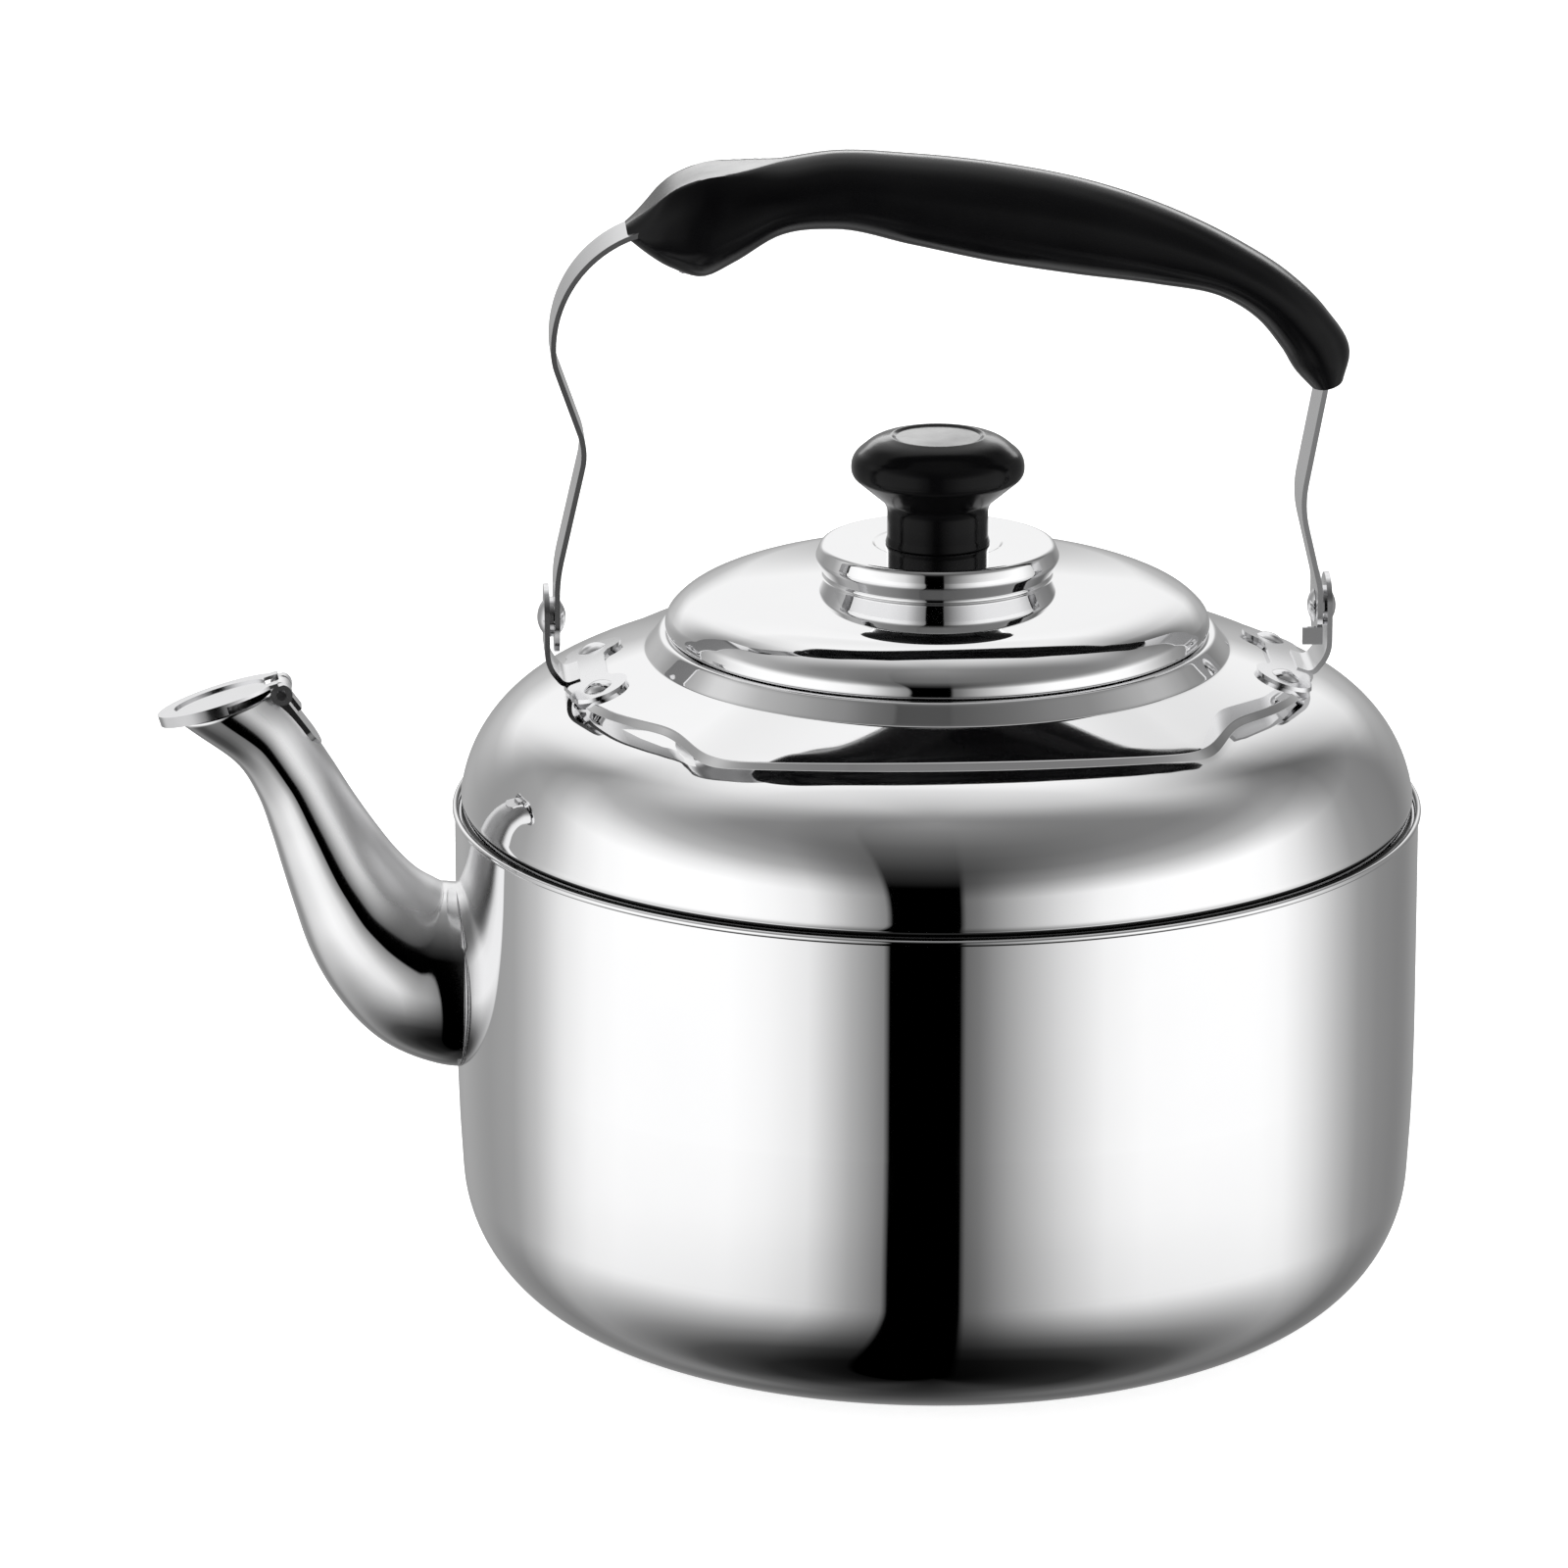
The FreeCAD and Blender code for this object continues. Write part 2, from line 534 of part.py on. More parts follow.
def make_ear_plate():
    """The flat part of the ear above the spout: two lobes round the rivets and a hollowed inner edge."""
    rivet_x, rivet_y = EAR_RIVET
    lobe = EAR_RIVET_HEAD + EAR_LOBE_MARGIN
    waist_x, waist_y = EAR_WAIST
    outline = ((EAR_INNER_X, -rivet_y), (waist_x, -waist_y), (waist_x, waist_y), (EAR_INNER_X, rivet_y),
               (EAR_OUTER_X, rivet_y + lobe / 2), (TAB_ELBOW_X, TAB_RADIUS),
               (TAB_ELBOW_X, -TAB_RADIUS), (EAR_OUTER_X, -rivet_y - lobe / 2))
    floor_z = LOBE_BOTTOM_Z - 10
    corners = [V(-x, y, floor_z) for x, y in outline]
    prism = Part.Face(Part.makePolygon(corners + corners[:1])).extrude(V(0, 0, 30))
    for y in (-rivet_y, rivet_y):
        prism = prism.fuse(Part.makeCylinder(lobe, 30, V(-rivet_x, y, floor_z)))
    rise = EAR_PLATE_THICKNESS
    inner, outer = COLLAR_FOOT[0], 96.0
    section = [V(inner, 0, plateau_z(inner)), V(outer, 0, plateau_z(outer)),
               V(outer, 0, plateau_z(outer) + rise), V(inner, 0, plateau_z(inner) + rise)]
    return turned(Part.Face(Part.makePolygon(section + section[:1]))).common(prism)


def make_ear(side):
    """Bracket that sits on the plateau, held by two rivets, and turns up into a tab for the bail."""
    outward = V(-1, 0, 0)
    foot_x = TAB_ELBOW_X - 4.0
    line = ((TAB_OUTER_X, PIVOT_Z), (TAB_OUTER_X, TAB_STRAIGHT_Z), (TAB_ELBOW_X, plateau_z(TAB_ELBOW_X)),
            (foot_x, plateau_z(foot_x)))
    strip = band(line, TAB_ROUNDS[::-1], EAR_THICKNESS).extrude(V(0, 2 * TAB_RADIUS, 0))
    strip.translate(V(0, -TAB_RADIUS, 0))
    strip = strip.mirror(V(0, 0, 0), V(1, 0, 0))
    disc = Part.makeCylinder(TAB_RADIUS, EAR_THICKNESS, pivot_point(-1, TAB_INNER_X), outward)
    ear = make_ear_plate().fuse(strip).fuse(disc)
    ear = ear.cut(Part.makeCylinder(PIVOT_SHANK, 10, pivot_point(-1, TAB_INNER_X - 2), outward))
    for start, axis in ear_rivet_places(-1):
        ear = ear.cut(Part.makeCylinder(EAR_RIVET_SHANK, 8, start - axis * 4, axis))
    ear = ear.removeSplitter()
    if side > 0:
        ear.rotate(V(0, 0, 0), Z_AXIS, 180)
    return ear


def make_ear_rivets(side):
    """The two rivets of one ear, as separate solids."""
    rivets = []
    for start, axis in ear_rivet_places(side):
        seat = start + axis * (EAR_PLATE_THICKNESS * math.cos(math.atan(PLATEAU_SLOPE)) + RIVET_SEAT_PLAY)
        under = start - axis * (SHEET + RIVET_TAIL_PLAY)
        rivet = domed_head(EAR_RIVET_HEAD, EAR_RIVET_RISE, seat, axis)
        rivet = rivet.fuse(Part.makeCylinder(EAR_RIVET_SHANK, (seat - under).Length, under, axis))
        rivet = rivet.fuse(Part.makeCylinder(*EAR_RIVET_TAIL, under, axis * -1))
        rivets.append(rivet.removeSplitter())
    return Part.makeCompound(rivets)


def make_pivot_rivet(side):
    """Rivet that the bail turns on, with a domed head at each end."""
    inner_x = STRAP_X - STRAP_THICKNESS / 2 - FACE_PLAY
    outward = V(side, 0, 0)
    start = pivot_point(side, inner_x)
    end = pivot_point(side, TAB_OUTER_X)
    rivet = Part.makeCylinder(PIVOT_SHANK, TAB_OUTER_X - inner_x, start, outward)
    rivet = rivet.fuse(domed_head(PIVOT_HEAD, PIVOT_RISE, end, outward))
    return rivet.fuse(domed_head(PIVOT_HEAD, PIVOT_RISE, start, outward * -1)).removeSplitter()


def make_pivot_washer(side):
    """Spacer between an ear's tab and the bail."""
    thickness = WASHER_THICKNESS - FACE_PLAY
    start = pivot_point(side, TAB_INNER_X - thickness)
    return tube(WASHER_RADIUS, PIVOT_SHANK, start, V(side, 0, 0), thickness)


def make_leg(side, line, rounds):
    """One leg of the bail: a bent strap with a round, drilled end at its pivot."""
    half = STRAP_THICKNESS / 2
    outer, outer_rounds = shifted(line, rounds, -half)
    strap = band(outer, outer_rounds, STRAP_THICKNESS).extrude(V(0, STRAP_WIDTH, 0))
    strap.translate(V(0, -STRAP_WIDTH / 2, 0))
    face = pivot_point(side, STRAP_X - half)
    outward = V(side, 0, 0)
    strap = strap.fuse(Part.makeCylinder(STRAP_END_RADIUS, STRAP_THICKNESS, face, outward))
    bore = Part.makeCylinder(PIVOT_SHANK + PIVOT_PLAY, 10, face - outward * 4, outward)
    return strap.cut(bore)


def make_front_leg():
    """Leg of the bail above the spout."""
    return make_leg(-1, FRONT_LEG, FRONT_LEG_ROUNDS).cut(make_screw(*FRONT_SCREW)).removeSplitter()


def make_rear_leg():
    """Leg of the bail away from the spout, with a small stop tab bent in at its lower end."""
    strap = make_leg(1, REAR_LEG, REAR_LEG_ROUNDS)
    depth, thick, tall = STOP_TAB
    corner = V(STRAP_X - STRAP_THICKNESS / 2 - depth, -STRAP_END_RADIUS, PIVOT_Z - STOP_TAB_DROP)
    root = Part.makeBox(STRAP_THICKNESS, STOP_TAB_ROOT, tall, corner + V(depth, 0, 0))
    strap = strap.fuse(Part.makeBox(depth + 0.2, thick, tall, corner)).fuse(root)
    return strap.cut(make_screw(*REAR_SCREW)).removeSplitter()


def make_screw(head, way, length):
    """Grip screw: a flat head at the grip's surface and a shank that runs inwards."""
    start = V(head[0], 0, head[1])
    axis = unit(V(way[0], 0, way[1]))
    screw = Part.makeCylinder(GRIP_SCREW_RADIUS, length, start, axis)
    head_disc = Part.makeCylinder(GRIP_SCREW_HEAD, GRIP_SCREW_HEAD_HEIGHT, start, axis)
    return screw.fuse(head_disc).removeSplitter()


def make_grip():
    """Moulded grip that thickens over the spout side and turns down at the rear."""
    wires = []
    for upper, lower, half_width in GRIP_SECTIONS:
        top = V(upper[0], 0, upper[1])
        bottom = V(lower[0], 0, lower[1])
        centre = (top + bottom) * 0.5
        way = unit((top - bottom).cross(V(0, 1, 0)))
        half = (top - bottom).Length / 2
        wires.append(ring_wire(centre, way, half, half_width))
    grip = Part.makeLoft(wires, True, False)
    for line, rounds in ((FRONT_LEG, FRONT_LEG_ROUNDS), (REAR_LEG, REAR_LEG_ROUNDS)):
        outer, outer_rounds = shifted(line, rounds, -STRAP_THICKNESS / 2)
        slot = band(outer, outer_rounds, STRAP_THICKNESS).extrude(V(0, STRAP_WIDTH, 0))
        slot.translate(V(0, -STRAP_WIDTH / 2, 0))
        grip = grip.cut(slot)
    for head, way, length in (FRONT_SCREW, REAR_SCREW):
        grip = grip.cut(make_screw(head, way, length))
        axis = unit(V(way[0], 0, way[1]))
        well_start = V(head[0], 0, head[1]) - axis * SCREW_WELL_DEPTH
        grip = grip.cut(Part.makeCylinder(GRIP_SCREW_HEAD, SCREW_WELL_DEPTH, well_start, axis))
    return max(grip.Solids, key=lambda solid: solid.Volume)


def make_lid():
    """Pressed lid with a raised pedestal for the knob and a curled rim."""
    shell = turned(band(LID_POINTS, LID_ROUNDS, SHEET))
    return shell.cut(Part.makeCylinder(KNOB_SCREW_RADIUS, 20, V(0, 0, LID_TOP_Z - 10)))


def make_lid_ring():
    """Ring under the lid that drops into the neck and keeps the lid centred."""
    blank = tube(LID_RING_RADIUS, LID_RING_RADIUS - SHEET, V(0, 0, LID_RING_BOTTOM_Z), Z_AXIS, 20)
    pieces = blank.cut(turned(band(LID_POINTS, LID_ROUNDS, SHEET))).Solids
    return min(pieces, key=lambda solid: solid.CenterOfMass.z)


def make_knob():
    """Turned mushroom knob, bored for its screw."""
    edges = path_edges(KNOB_POINTS, KNOB_ROUNDS)
    knob = turned(closed_face(edges))
    bore_depth = KNOB_SCREW_TOP_Z - LID_TOP_Z
    return knob.cut(Part.makeCylinder(KNOB_SCREW_RADIUS, bore_depth, V(0, 0, LID_TOP_Z)))


def make_knob_washer():
    """Washer under the lid's pedestal."""
    start = V(0, 0, LID_TOP_Z - SHEET - KNOB_WASHER_THICKNESS)
    return tube(KNOB_WASHER_RADIUS, KNOB_SCREW_RADIUS, start, Z_AXIS, KNOB_WASHER_THICKNESS)


def make_knob_screw():
    """Screw from inside the lid up into the knob."""
    seat_z = LID_TOP_Z - SHEET - KNOB_WASHER_THICKNESS
    screw = Part.makeCylinder(KNOB_SCREW_RADIUS, KNOB_SCREW_TOP_Z - seat_z, V(0, 0, seat_z))
    head = domed_head(*KNOB_SCREW_HEAD, V(0, 0, seat_z), V(0, 0, -1))
    return screw.fuse(head).removeSplitter()


PARTS = {
    "pot": make_pot,
    "shoulder": make_shoulder,
    "spout": make_spout,
    "cap_hinge_bracket": make_hinge_bracket,
    "cap_hinge_pin": make_cap_pin,
    "spout_cap": make_spout_cap,
    "whistle_cup": make_whistle_cup,
    "whistle_plate": make_whistle_plate,
    "front_ear": lambda: make_ear(-1),
    "rear_ear": lambda: make_ear(1),
    "front_ear_rivets": lambda: make_ear_rivets(-1),
    "rear_ear_rivets": lambda: make_ear_rivets(1),
    "front_pivot_rivet": lambda: make_pivot_rivet(-1),
    "rear_pivot_rivet": lambda: make_pivot_rivet(1),
    "front_pivot_washer": lambda: make_pivot_washer(-1),
    "rear_pivot_washer": lambda: make_pivot_washer(1),
    "bail_front_leg": make_front_leg,
    "bail_rear_leg": make_rear_leg,
    "grip": make_grip,
    "grip_front_screw": lambda: make_screw(*FRONT_SCREW),
    "grip_rear_screw": lambda: make_screw(*REAR_SCREW),
    "lid": make_lid,
    "lid_ring": make_lid_ring,
    "knob": make_knob,
    "knob_screw": make_knob_screw,
    "knob_washer": make_knob_washer,
}

os.makedirs("parts", exist_ok=True)
for name, make in PARTS.items():
    solid = make()
    solid.exportStep("parts/" + name + ".step")
    print(name, len(solid.Solids), round(solid.Volume / 1000, 2), "cm3", solid.isValid())
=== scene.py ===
import math

import bmesh
import bpy
import numpy as np
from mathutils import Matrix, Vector


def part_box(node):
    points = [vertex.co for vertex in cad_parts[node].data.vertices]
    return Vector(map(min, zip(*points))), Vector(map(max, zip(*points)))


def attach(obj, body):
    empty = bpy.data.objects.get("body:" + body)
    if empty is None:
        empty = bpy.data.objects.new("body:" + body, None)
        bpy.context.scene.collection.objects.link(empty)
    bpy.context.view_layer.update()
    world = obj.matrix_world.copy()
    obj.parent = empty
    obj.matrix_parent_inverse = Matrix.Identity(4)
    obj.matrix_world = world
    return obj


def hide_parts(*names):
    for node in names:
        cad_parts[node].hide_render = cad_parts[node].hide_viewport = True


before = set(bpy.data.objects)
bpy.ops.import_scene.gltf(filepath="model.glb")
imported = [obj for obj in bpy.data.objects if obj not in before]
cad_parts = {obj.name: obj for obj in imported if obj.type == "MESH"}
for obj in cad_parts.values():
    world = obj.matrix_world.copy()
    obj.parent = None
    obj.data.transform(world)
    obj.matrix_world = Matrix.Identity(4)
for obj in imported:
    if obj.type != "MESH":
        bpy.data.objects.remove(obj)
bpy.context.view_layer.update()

# ---------------------------------------------------------------- sizes
# Millimetres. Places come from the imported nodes' boxes, and the rest are the sheet's own details.
MM = 0.001


def node_box(node):
    """Lowest and highest corner of a CAD node, in millimetres."""
    low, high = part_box(node)
    return np.array(low) / MM, np.array(high) / MM


POT_CORNER = node_box("pot")[1]
NECK_Z = node_box("shoulder")[1][2]
LID_LOW, LID_HIGH = node_box("lid")
PIN_LOW, PIN_HIGH = node_box("cap_hinge_pin")

SHEET = 0.8
SEAM_GAP = 0.6
BEAD_RADIUS = 0.7
BEAD_INSET = 0.1
POT_RADIUS = POT_CORNER[0] - BEAD_RADIUS + BEAD_INSET
POT_TAPER_Z = 50.0
POT_BASE_CORNER = POT_RADIUS - 3.5
POT_ROUNDS = (480.0, 34.0)
SEAM_Z = POT_CORNER[2] + SEAM_GAP
BEAD_Z = SEAM_Z - SEAM_GAP - BEAD_RADIUS
SKIRT_RADIUS = POT_RADIUS - SHEET
DOME_RADIUS = SKIRT_RADIUS - 0.55
STEAM_HOLE_RADIUS = 17.0
SPIN_STEPS = 288

PLATEAU_SLOPE = 0.35
COLLAR_FOOT = (66.8, NECK_Z - 4.6)
COLLAR_TOP_RADIUS = 63.4
COLLAR_ROUNDS = (1.3, 1.3, 0.7)
NECK_RADIUS = 59.4
NECK_DEPTH = 6.3

LID_TOP_Z = LID_HIGH[2]
LID_EDGE_Z = LID_LOW[2]
LID_RADIUS = LID_HIGH[0]
PEDESTAL_RADIUS = 28.0

CAP_PIN = np.array([(PIN_LOW[0] + PIN_HIGH[0]) / 2, 0.0, (PIN_LOW[2] + PIN_HIGH[2]) / 2])
CAP_TILT = math.radians(17.3)


# ---------------------------------------------------------------- mesh helpers
END_MARGIN = 0.5


def line_points(start, end, longest):
    """Points along a straight run, with one close to each end so that smooth shading stays on the bend."""
    start = np.array(start, float)
    end = np.array(end, float)
    length = np.linalg.norm(end - start)
    if length < 3 * END_MARGIN:
        return [start, end]
    middle = length - 2 * END_MARGIN
    count = max(1, math.ceil(middle / longest))
    stops = [0.0] + [END_MARGIN + middle * i / count for i in range(count + 1)] + [length]
    return [start + (end - start) * stop / length for stop in stops]


def rounded_path(points, radii, arc_step=4.0, longest=7.0):
    """Points along a polyline in a plane whose inner corners are arcs of the given radii."""
    points = [np.array(p, float) for p in points]
    path = []
    last = points[0]
    for before, point, after, radius in zip(points, points[1:], points[2:], radii):
        way_in = (point - before) / np.linalg.norm(point - before)
        way_out = (after - point) / np.linalg.norm(after - point)
        turn = math.acos(max(-1.0, min(1.0, float(way_in @ way_out))))
        if radius <= 0 or turn < 1e-4:
            path += line_points(last, point, longest)[:-1]
            last = point
            continue
        trim = radius * math.tan(turn / 2)
        start = point - way_in * trim
        side = way_out - way_in * float(way_in @ way_out)
        side /= np.linalg.norm(side)
        path += line_points(last, start, longest)[:-1]
        steps = max(2, math.ceil(math.degrees(turn) / arc_step))
        for i in range(steps + 1):
            angle = turn * i / steps
            path.append(start + way_in * radius * math.sin(angle) + side * radius * (1 - math.cos(angle)))
        last = path.pop()
    path += line_points(last, points[-1], longest)
    return path


def offset_path(points, radii, distance):
    """A rounded polyline's corners and radii, moved to its own right by a distance."""
    points = [np.array(p, float) for p in points]
    ways = [(b - a) / np.linalg.norm(b - a) for a, b in zip(points, points[1:])]
    rights = [np.array([way[1], -way[0]]) for way in ways]
    moved = [points[0] + rights[0] * distance]
    new_radii = []
    for point, a, b, way, radius in zip(points[1:-1], rights, rights[1:], ways[1:], radii):
        moved.append(point + (a + b) * distance / (1 + float(a @ b)))
        new_radii.append(max(0.0, radius - distance) if float(a @ way) > 0 else radius + distance)
    moved.append(points[-1] + rights[-1] * distance)
    return moved, new_radii


def sheet_loop(points, radii, thickness, arc_step=4.0):
    """The closed outline of a bent sheet: its face, then its back in the other direction."""
    inner_points, inner_radii = offset_path(points, radii, thickness)
    front = rounded_path(points, radii, arc_step)
    back = rounded_path(inner_points, inner_radii, arc_step)
    return front + back[::-1]


def lathe(loop, steps=SPIN_STEPS):
    """Vertices and faces of an outline of (radius, z) points turned about the Z axis."""
    verts = []
    rings = []
    for radius, z in loop:
        if radius < 1e-6:
            rings.append([len(verts)] * steps)
            verts.append((0.0, 0.0, z))
            continue
        rings.append(list(range(len(verts), len(verts) + steps)))
        for i in range(steps):
            angle = 2 * math.pi * i / steps
            verts.append((radius * math.cos(angle), radius * math.sin(angle), z))
    faces = []
    for low, high in zip(rings, rings[1:]):
        for i in range(steps):
            j = (i + 1) % steps
            corners = [low[i], low[j], high[j], high[i]]
            face = list(dict.fromkeys(corners))
            if len(face) > 2:
                faces.append(face)
    return verts, faces


def grid_faces(rows, columns):
    """Faces of a tube of vertices: rows along it, columns round it."""
    faces = []
    for i in range(rows - 1):
        for j in range(columns):
            k = (j + 1) % columns
            faces.append([i * columns + j, i * columns + k, (i + 1) * columns + k, (i + 1) * columns + j])
    return faces


def clean_mesh(name, verts, faces):
    """A mesh in metres from millimetres, with double points merged and its faces turned outwards."""
    mesh = bpy.data.meshes.new(name)
    mesh.from_pydata([tuple(float(c) * MM for c in v) for v in verts], [], faces)
    work = bmesh.new()
    work.from_mesh(mesh)
    bmesh.ops.remove_doubles(work, verts=work.verts, dist=1e-6)
    bmesh.ops.dissolve_degenerate(work, edges=work.edges, dist=1e-7)
    bmesh.ops.recalc_face_normals(work, faces=work.faces)
    work.to_mesh(mesh)
    work.free()
    return mesh


# Edges that bend by more degrees than this stay sharp
TURNED_SHARP, SHEET_SHARP, KNOB_SHARP, GRIP_SHARP = 40.0, 60.0, 50.0, 30.0


def add_piece(name, verts, faces, body, nodes, material, sharp=TURNED_SHARP):
    """A smooth-shaded mesh piece that rides on a body and stands for CAD nodes."""
    mesh = clean_mesh(name, verts, faces)
    mesh.shade_smooth()
    mesh.set_sharp_from_angle(angle=math.radians(sharp))
    piece = bpy.data.objects.new(name, mesh)
    bpy.context.scene.collection.objects.link(piece)
    mesh.materials.append(material)
    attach(piece, body)
    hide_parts(*nodes)
    return piece


def thicken(piece):
    """Gives a one-sided sheet its thickness, on the side its normals point away from."""
    solid = piece.modifiers.new("thickness", "SOLIDIFY")
    solid.thickness = SHEET * MM
    solid.offset = -1.0


def cut_away(piece, verts, faces):
    """Cuts a closed shape out of a piece for good."""
    cutter = bpy.data.objects.new("cutter", clean_mesh("cutter", verts, faces))
    bpy.context.scene.collection.objects.link(cutter)
    cut = piece.modifiers.new("cut", "BOOLEAN")
    cut.operation = "DIFFERENCE"
    cut.solver = "EXACT"
    cut.object = cutter
    bpy.context.view_layer.update()
    shaped = bpy.data.meshes.new_from_object(piece.evaluated_get(bpy.context.evaluated_depsgraph_get()))
    piece.modifiers.remove(cut)
    piece.data = shaped
    bpy.data.objects.remove(cutter)


def around(count):
    """Evenly spaced angles round a full turn."""
    return 2 * np.pi * np.arange(count) / count


def smoothstep(value, low, high):
    """0 below low, 1 above high, smooth between."""
    t = np.clip((value - low) / (high - low), 0.0, 1.0)
    return t * t * (3 - 2 * t)


# ---------------------------------------------------------------- materials
def new_material(name):
    """A material with its Principled shader and a way to add nodes."""
    material = bpy.data.materials.new(name)
    material.use_nodes = True
    nodes = material.node_tree.nodes
    return material, nodes, material.node_tree.links, nodes["Principled BSDF"]


def add_noise(nodes, links, coordinates, scale, detail=4.0, roughness=0.55):
    """A noise texture on given coordinates."""
    noise = nodes.new("ShaderNodeTexNoise")
    noise.inputs["Scale"].default_value = scale
    noise.inputs["Detail"].default_value = detail
    noise.inputs["Roughness"].default_value = roughness
    links.new(coordinates, noise.inputs["Vector"])
    return noise


def spread(nodes, links, value, low, high, start=0.3, end=0.7):
    """A value remapped from start..end to low..high."""
    ramp = nodes.new("ShaderNodeMapRange")
    ramp.inputs["From Min"].default_value = start
    ramp.inputs["From Max"].default_value = end
    ramp.inputs["To Min"].default_value = low
    ramp.inputs["To Max"].default_value = high
    links.new(value, ramp.inputs["Value"])
    return ramp.outputs["Result"]


def stretched(nodes, links, coordinates, scale):
    """Coordinates scaled differently along each axis."""
    mapping = nodes.new("ShaderNodeMapping")
    mapping.inputs["Scale"].default_value = scale
    links.new(coordinates, mapping.inputs["Vector"])
    return mapping.outputs["Vector"]


def mix_colours(nodes, links, factor, dark, light):
    """Two colours mixed by a factor."""
    mix = nodes.new("ShaderNodeMix")
    mix.data_type = "RGBA"
    mix.inputs["A"].default_value = (*dark, 1)
    mix.inputs["B"].default_value = (*light, 1)
    links.new(factor, mix.inputs["Factor"])
    return mix.outputs["Result"]


# Where the painted shade in the seam fades: by radius, then by height at its lower and upper edge
SEAM_SHADE_PLACES = (POT_RADIUS - 0.25, POT_RADIUS + 0.05, BEAD_Z - 0.2, BEAD_Z, SEAM_Z - 0.7, SEAM_Z - 0.3)
# Near-black colour painted into the seam as shade, standing in for the shadow in the gap
SEAM_PAINTED_SHADE = (0.012, 0.012, 0.012, 1)
UNPOLISHED_ROUGHNESS = 0.34
UNPOLISHED_NORMALS = (-0.12, 0.45)


def seam_shade_mask(nodes, links, coordinates):
    """1 inside the open seam between pot and shoulder, where dark shade is painted in, 0 on the faces round
    it.
    """
    split = nodes.new("ShaderNodeSeparateXYZ")
    links.new(coordinates, split.inputs["Vector"])
    flat = nodes.new("ShaderNodeCombineXYZ")
    links.new(split.outputs["X"], flat.inputs["X"])
    links.new(split.outputs["Y"], flat.inputs["Y"])
    length = nodes.new("ShaderNodeVectorMath")
    length.operation = "LENGTH"
    links.new(flat.outputs["Vector"], length.inputs[0])
    inward, outward, low, low_end, high, high_end = (place * MM for place in SEAM_SHADE_PLACES)
    mask = spread(nodes, links, length.outputs["Value"], 1.0, 0.0, inward, outward)
    above = spread(nodes, links, split.outputs["Z"], 0.0, 1.0, low, low_end)
    below = spread(nodes, links, split.outputs["Z"], 1.0, 0.0, high, high_end)
    for part in (above, below):
        times = nodes.new("ShaderNodeMath")
        times.operation = "MULTIPLY"
        links.new(mask, times.inputs[0])
        links.new(part, times.inputs[1])
        mask = times.outputs["Value"]
    return mask


def unpolished(nodes, links):
    """Extra roughness on faces that look towards the pot, where a polishing wheel can't reach."""
    split = nodes.new("ShaderNodeSeparateXYZ")
    links.new(nodes.new("ShaderNodeTexCoord").outputs["Normal"], split.inputs["Vector"])
    return spread(nodes, links, split.outputs["X"], 0.0, UNPOLISHED_ROUGHNESS, *UNPOLISHED_NORMALS)


# Noise scales per metre, and the heights of the bumps in metres
SMUDGE_SCALE, STREAK_SCALE, WAVE_SCALE = 28.0, 900.0, 14.0
STREAK_SHARE = 0.35
DULL_TINT = 0.955
WAVE_HEIGHT = 0.0006
CLOUD_SCALE, GRAIN_SCALE = 60.0, 420.0
GRAIN_STRENGTH, GRAIN_HEIGHT = 0.05, 0.0003
MOULDING_COLOURS = (0.002, 0.002, 0.0022), (0.005, 0.005, 0.0055)
MOULDING_ROUGHNESS = 0.13, 0.24
MOULDING_SHINE = 0.13


def add_bump(nodes, links, shader, noise, strength, height):
    """Surface relief from a noise texture."""
    bump = nodes.new("ShaderNodeBump")
    bump.inputs["Strength"].default_value = strength
    bump.inputs["Distance"].default_value = height
    links.new(noise.outputs["Fac"], bump.inputs["Height"])
    links.new(bump.outputs["Normal"], shader.inputs["Normal"])


def steel(name, colour, rough, rough_spread, bump=0.0, streak=(1, 1, 1), seam=False, inner_bend=False):
    """Stainless steel: wipe marks and fine streaks vary its roughness, and long soft waves its surface. With
    seam set, painted shade darkens the open seam between pot and shoulder.
    """
    material, nodes, links, shader = new_material(name)
    coordinates = nodes.new("ShaderNodeTexCoord").outputs["Object"]
    smudge = add_noise(nodes, links, coordinates, SMUDGE_SCALE)
    fine = add_noise(nodes, links, stretched(nodes, links, coordinates, streak), STREAK_SCALE, 2.0)
    blend = nodes.new("ShaderNodeMath")
    blend.operation = "MULTIPLY_ADD"
    blend.inputs[1].default_value = STREAK_SHARE
    links.new(fine.outputs["Fac"], blend.inputs[0])
    links.new(smudge.outputs["Fac"], blend.inputs[2])
    roughness = spread(nodes, links, blend.outputs["Value"], rough, rough + rough_spread, 0.45, 0.95)
    if inner_bend:
        more = nodes.new("ShaderNodeMath")
        more.operation = "ADD"
        links.new(roughness, more.inputs[0])
        links.new(unpolished(nodes, links), more.inputs[1])
        roughness = more.outputs["Value"]
    links.new(roughness, shader.inputs["Roughness"])
    tint = tuple(c * DULL_TINT for c in colour)
    tinted = mix_colours(nodes, links, smudge.outputs["Fac"], tint, colour)
    # Painted shade: the open seam's faces are painted near black in place of the shadow in the gap
    if seam:
        painted_shade = nodes.new("ShaderNodeMix")
        painted_shade.data_type = "RGBA"
        painted_shade.inputs["B"].default_value = SEAM_PAINTED_SHADE
        links.new(seam_shade_mask(nodes, links, coordinates), painted_shade.inputs["Factor"])
        links.new(tinted, painted_shade.inputs["A"])
        tinted = painted_shade.outputs["Result"]
    links.new(tinted, shader.inputs["Base Color"])
    shader.inputs["Metallic"].default_value = 1.0
    if bump:
        wave = add_noise(nodes, links, coordinates, WAVE_SCALE, 1.0)
        add_bump(nodes, links, shader, wave, bump, WAVE_HEIGHT)
    return material


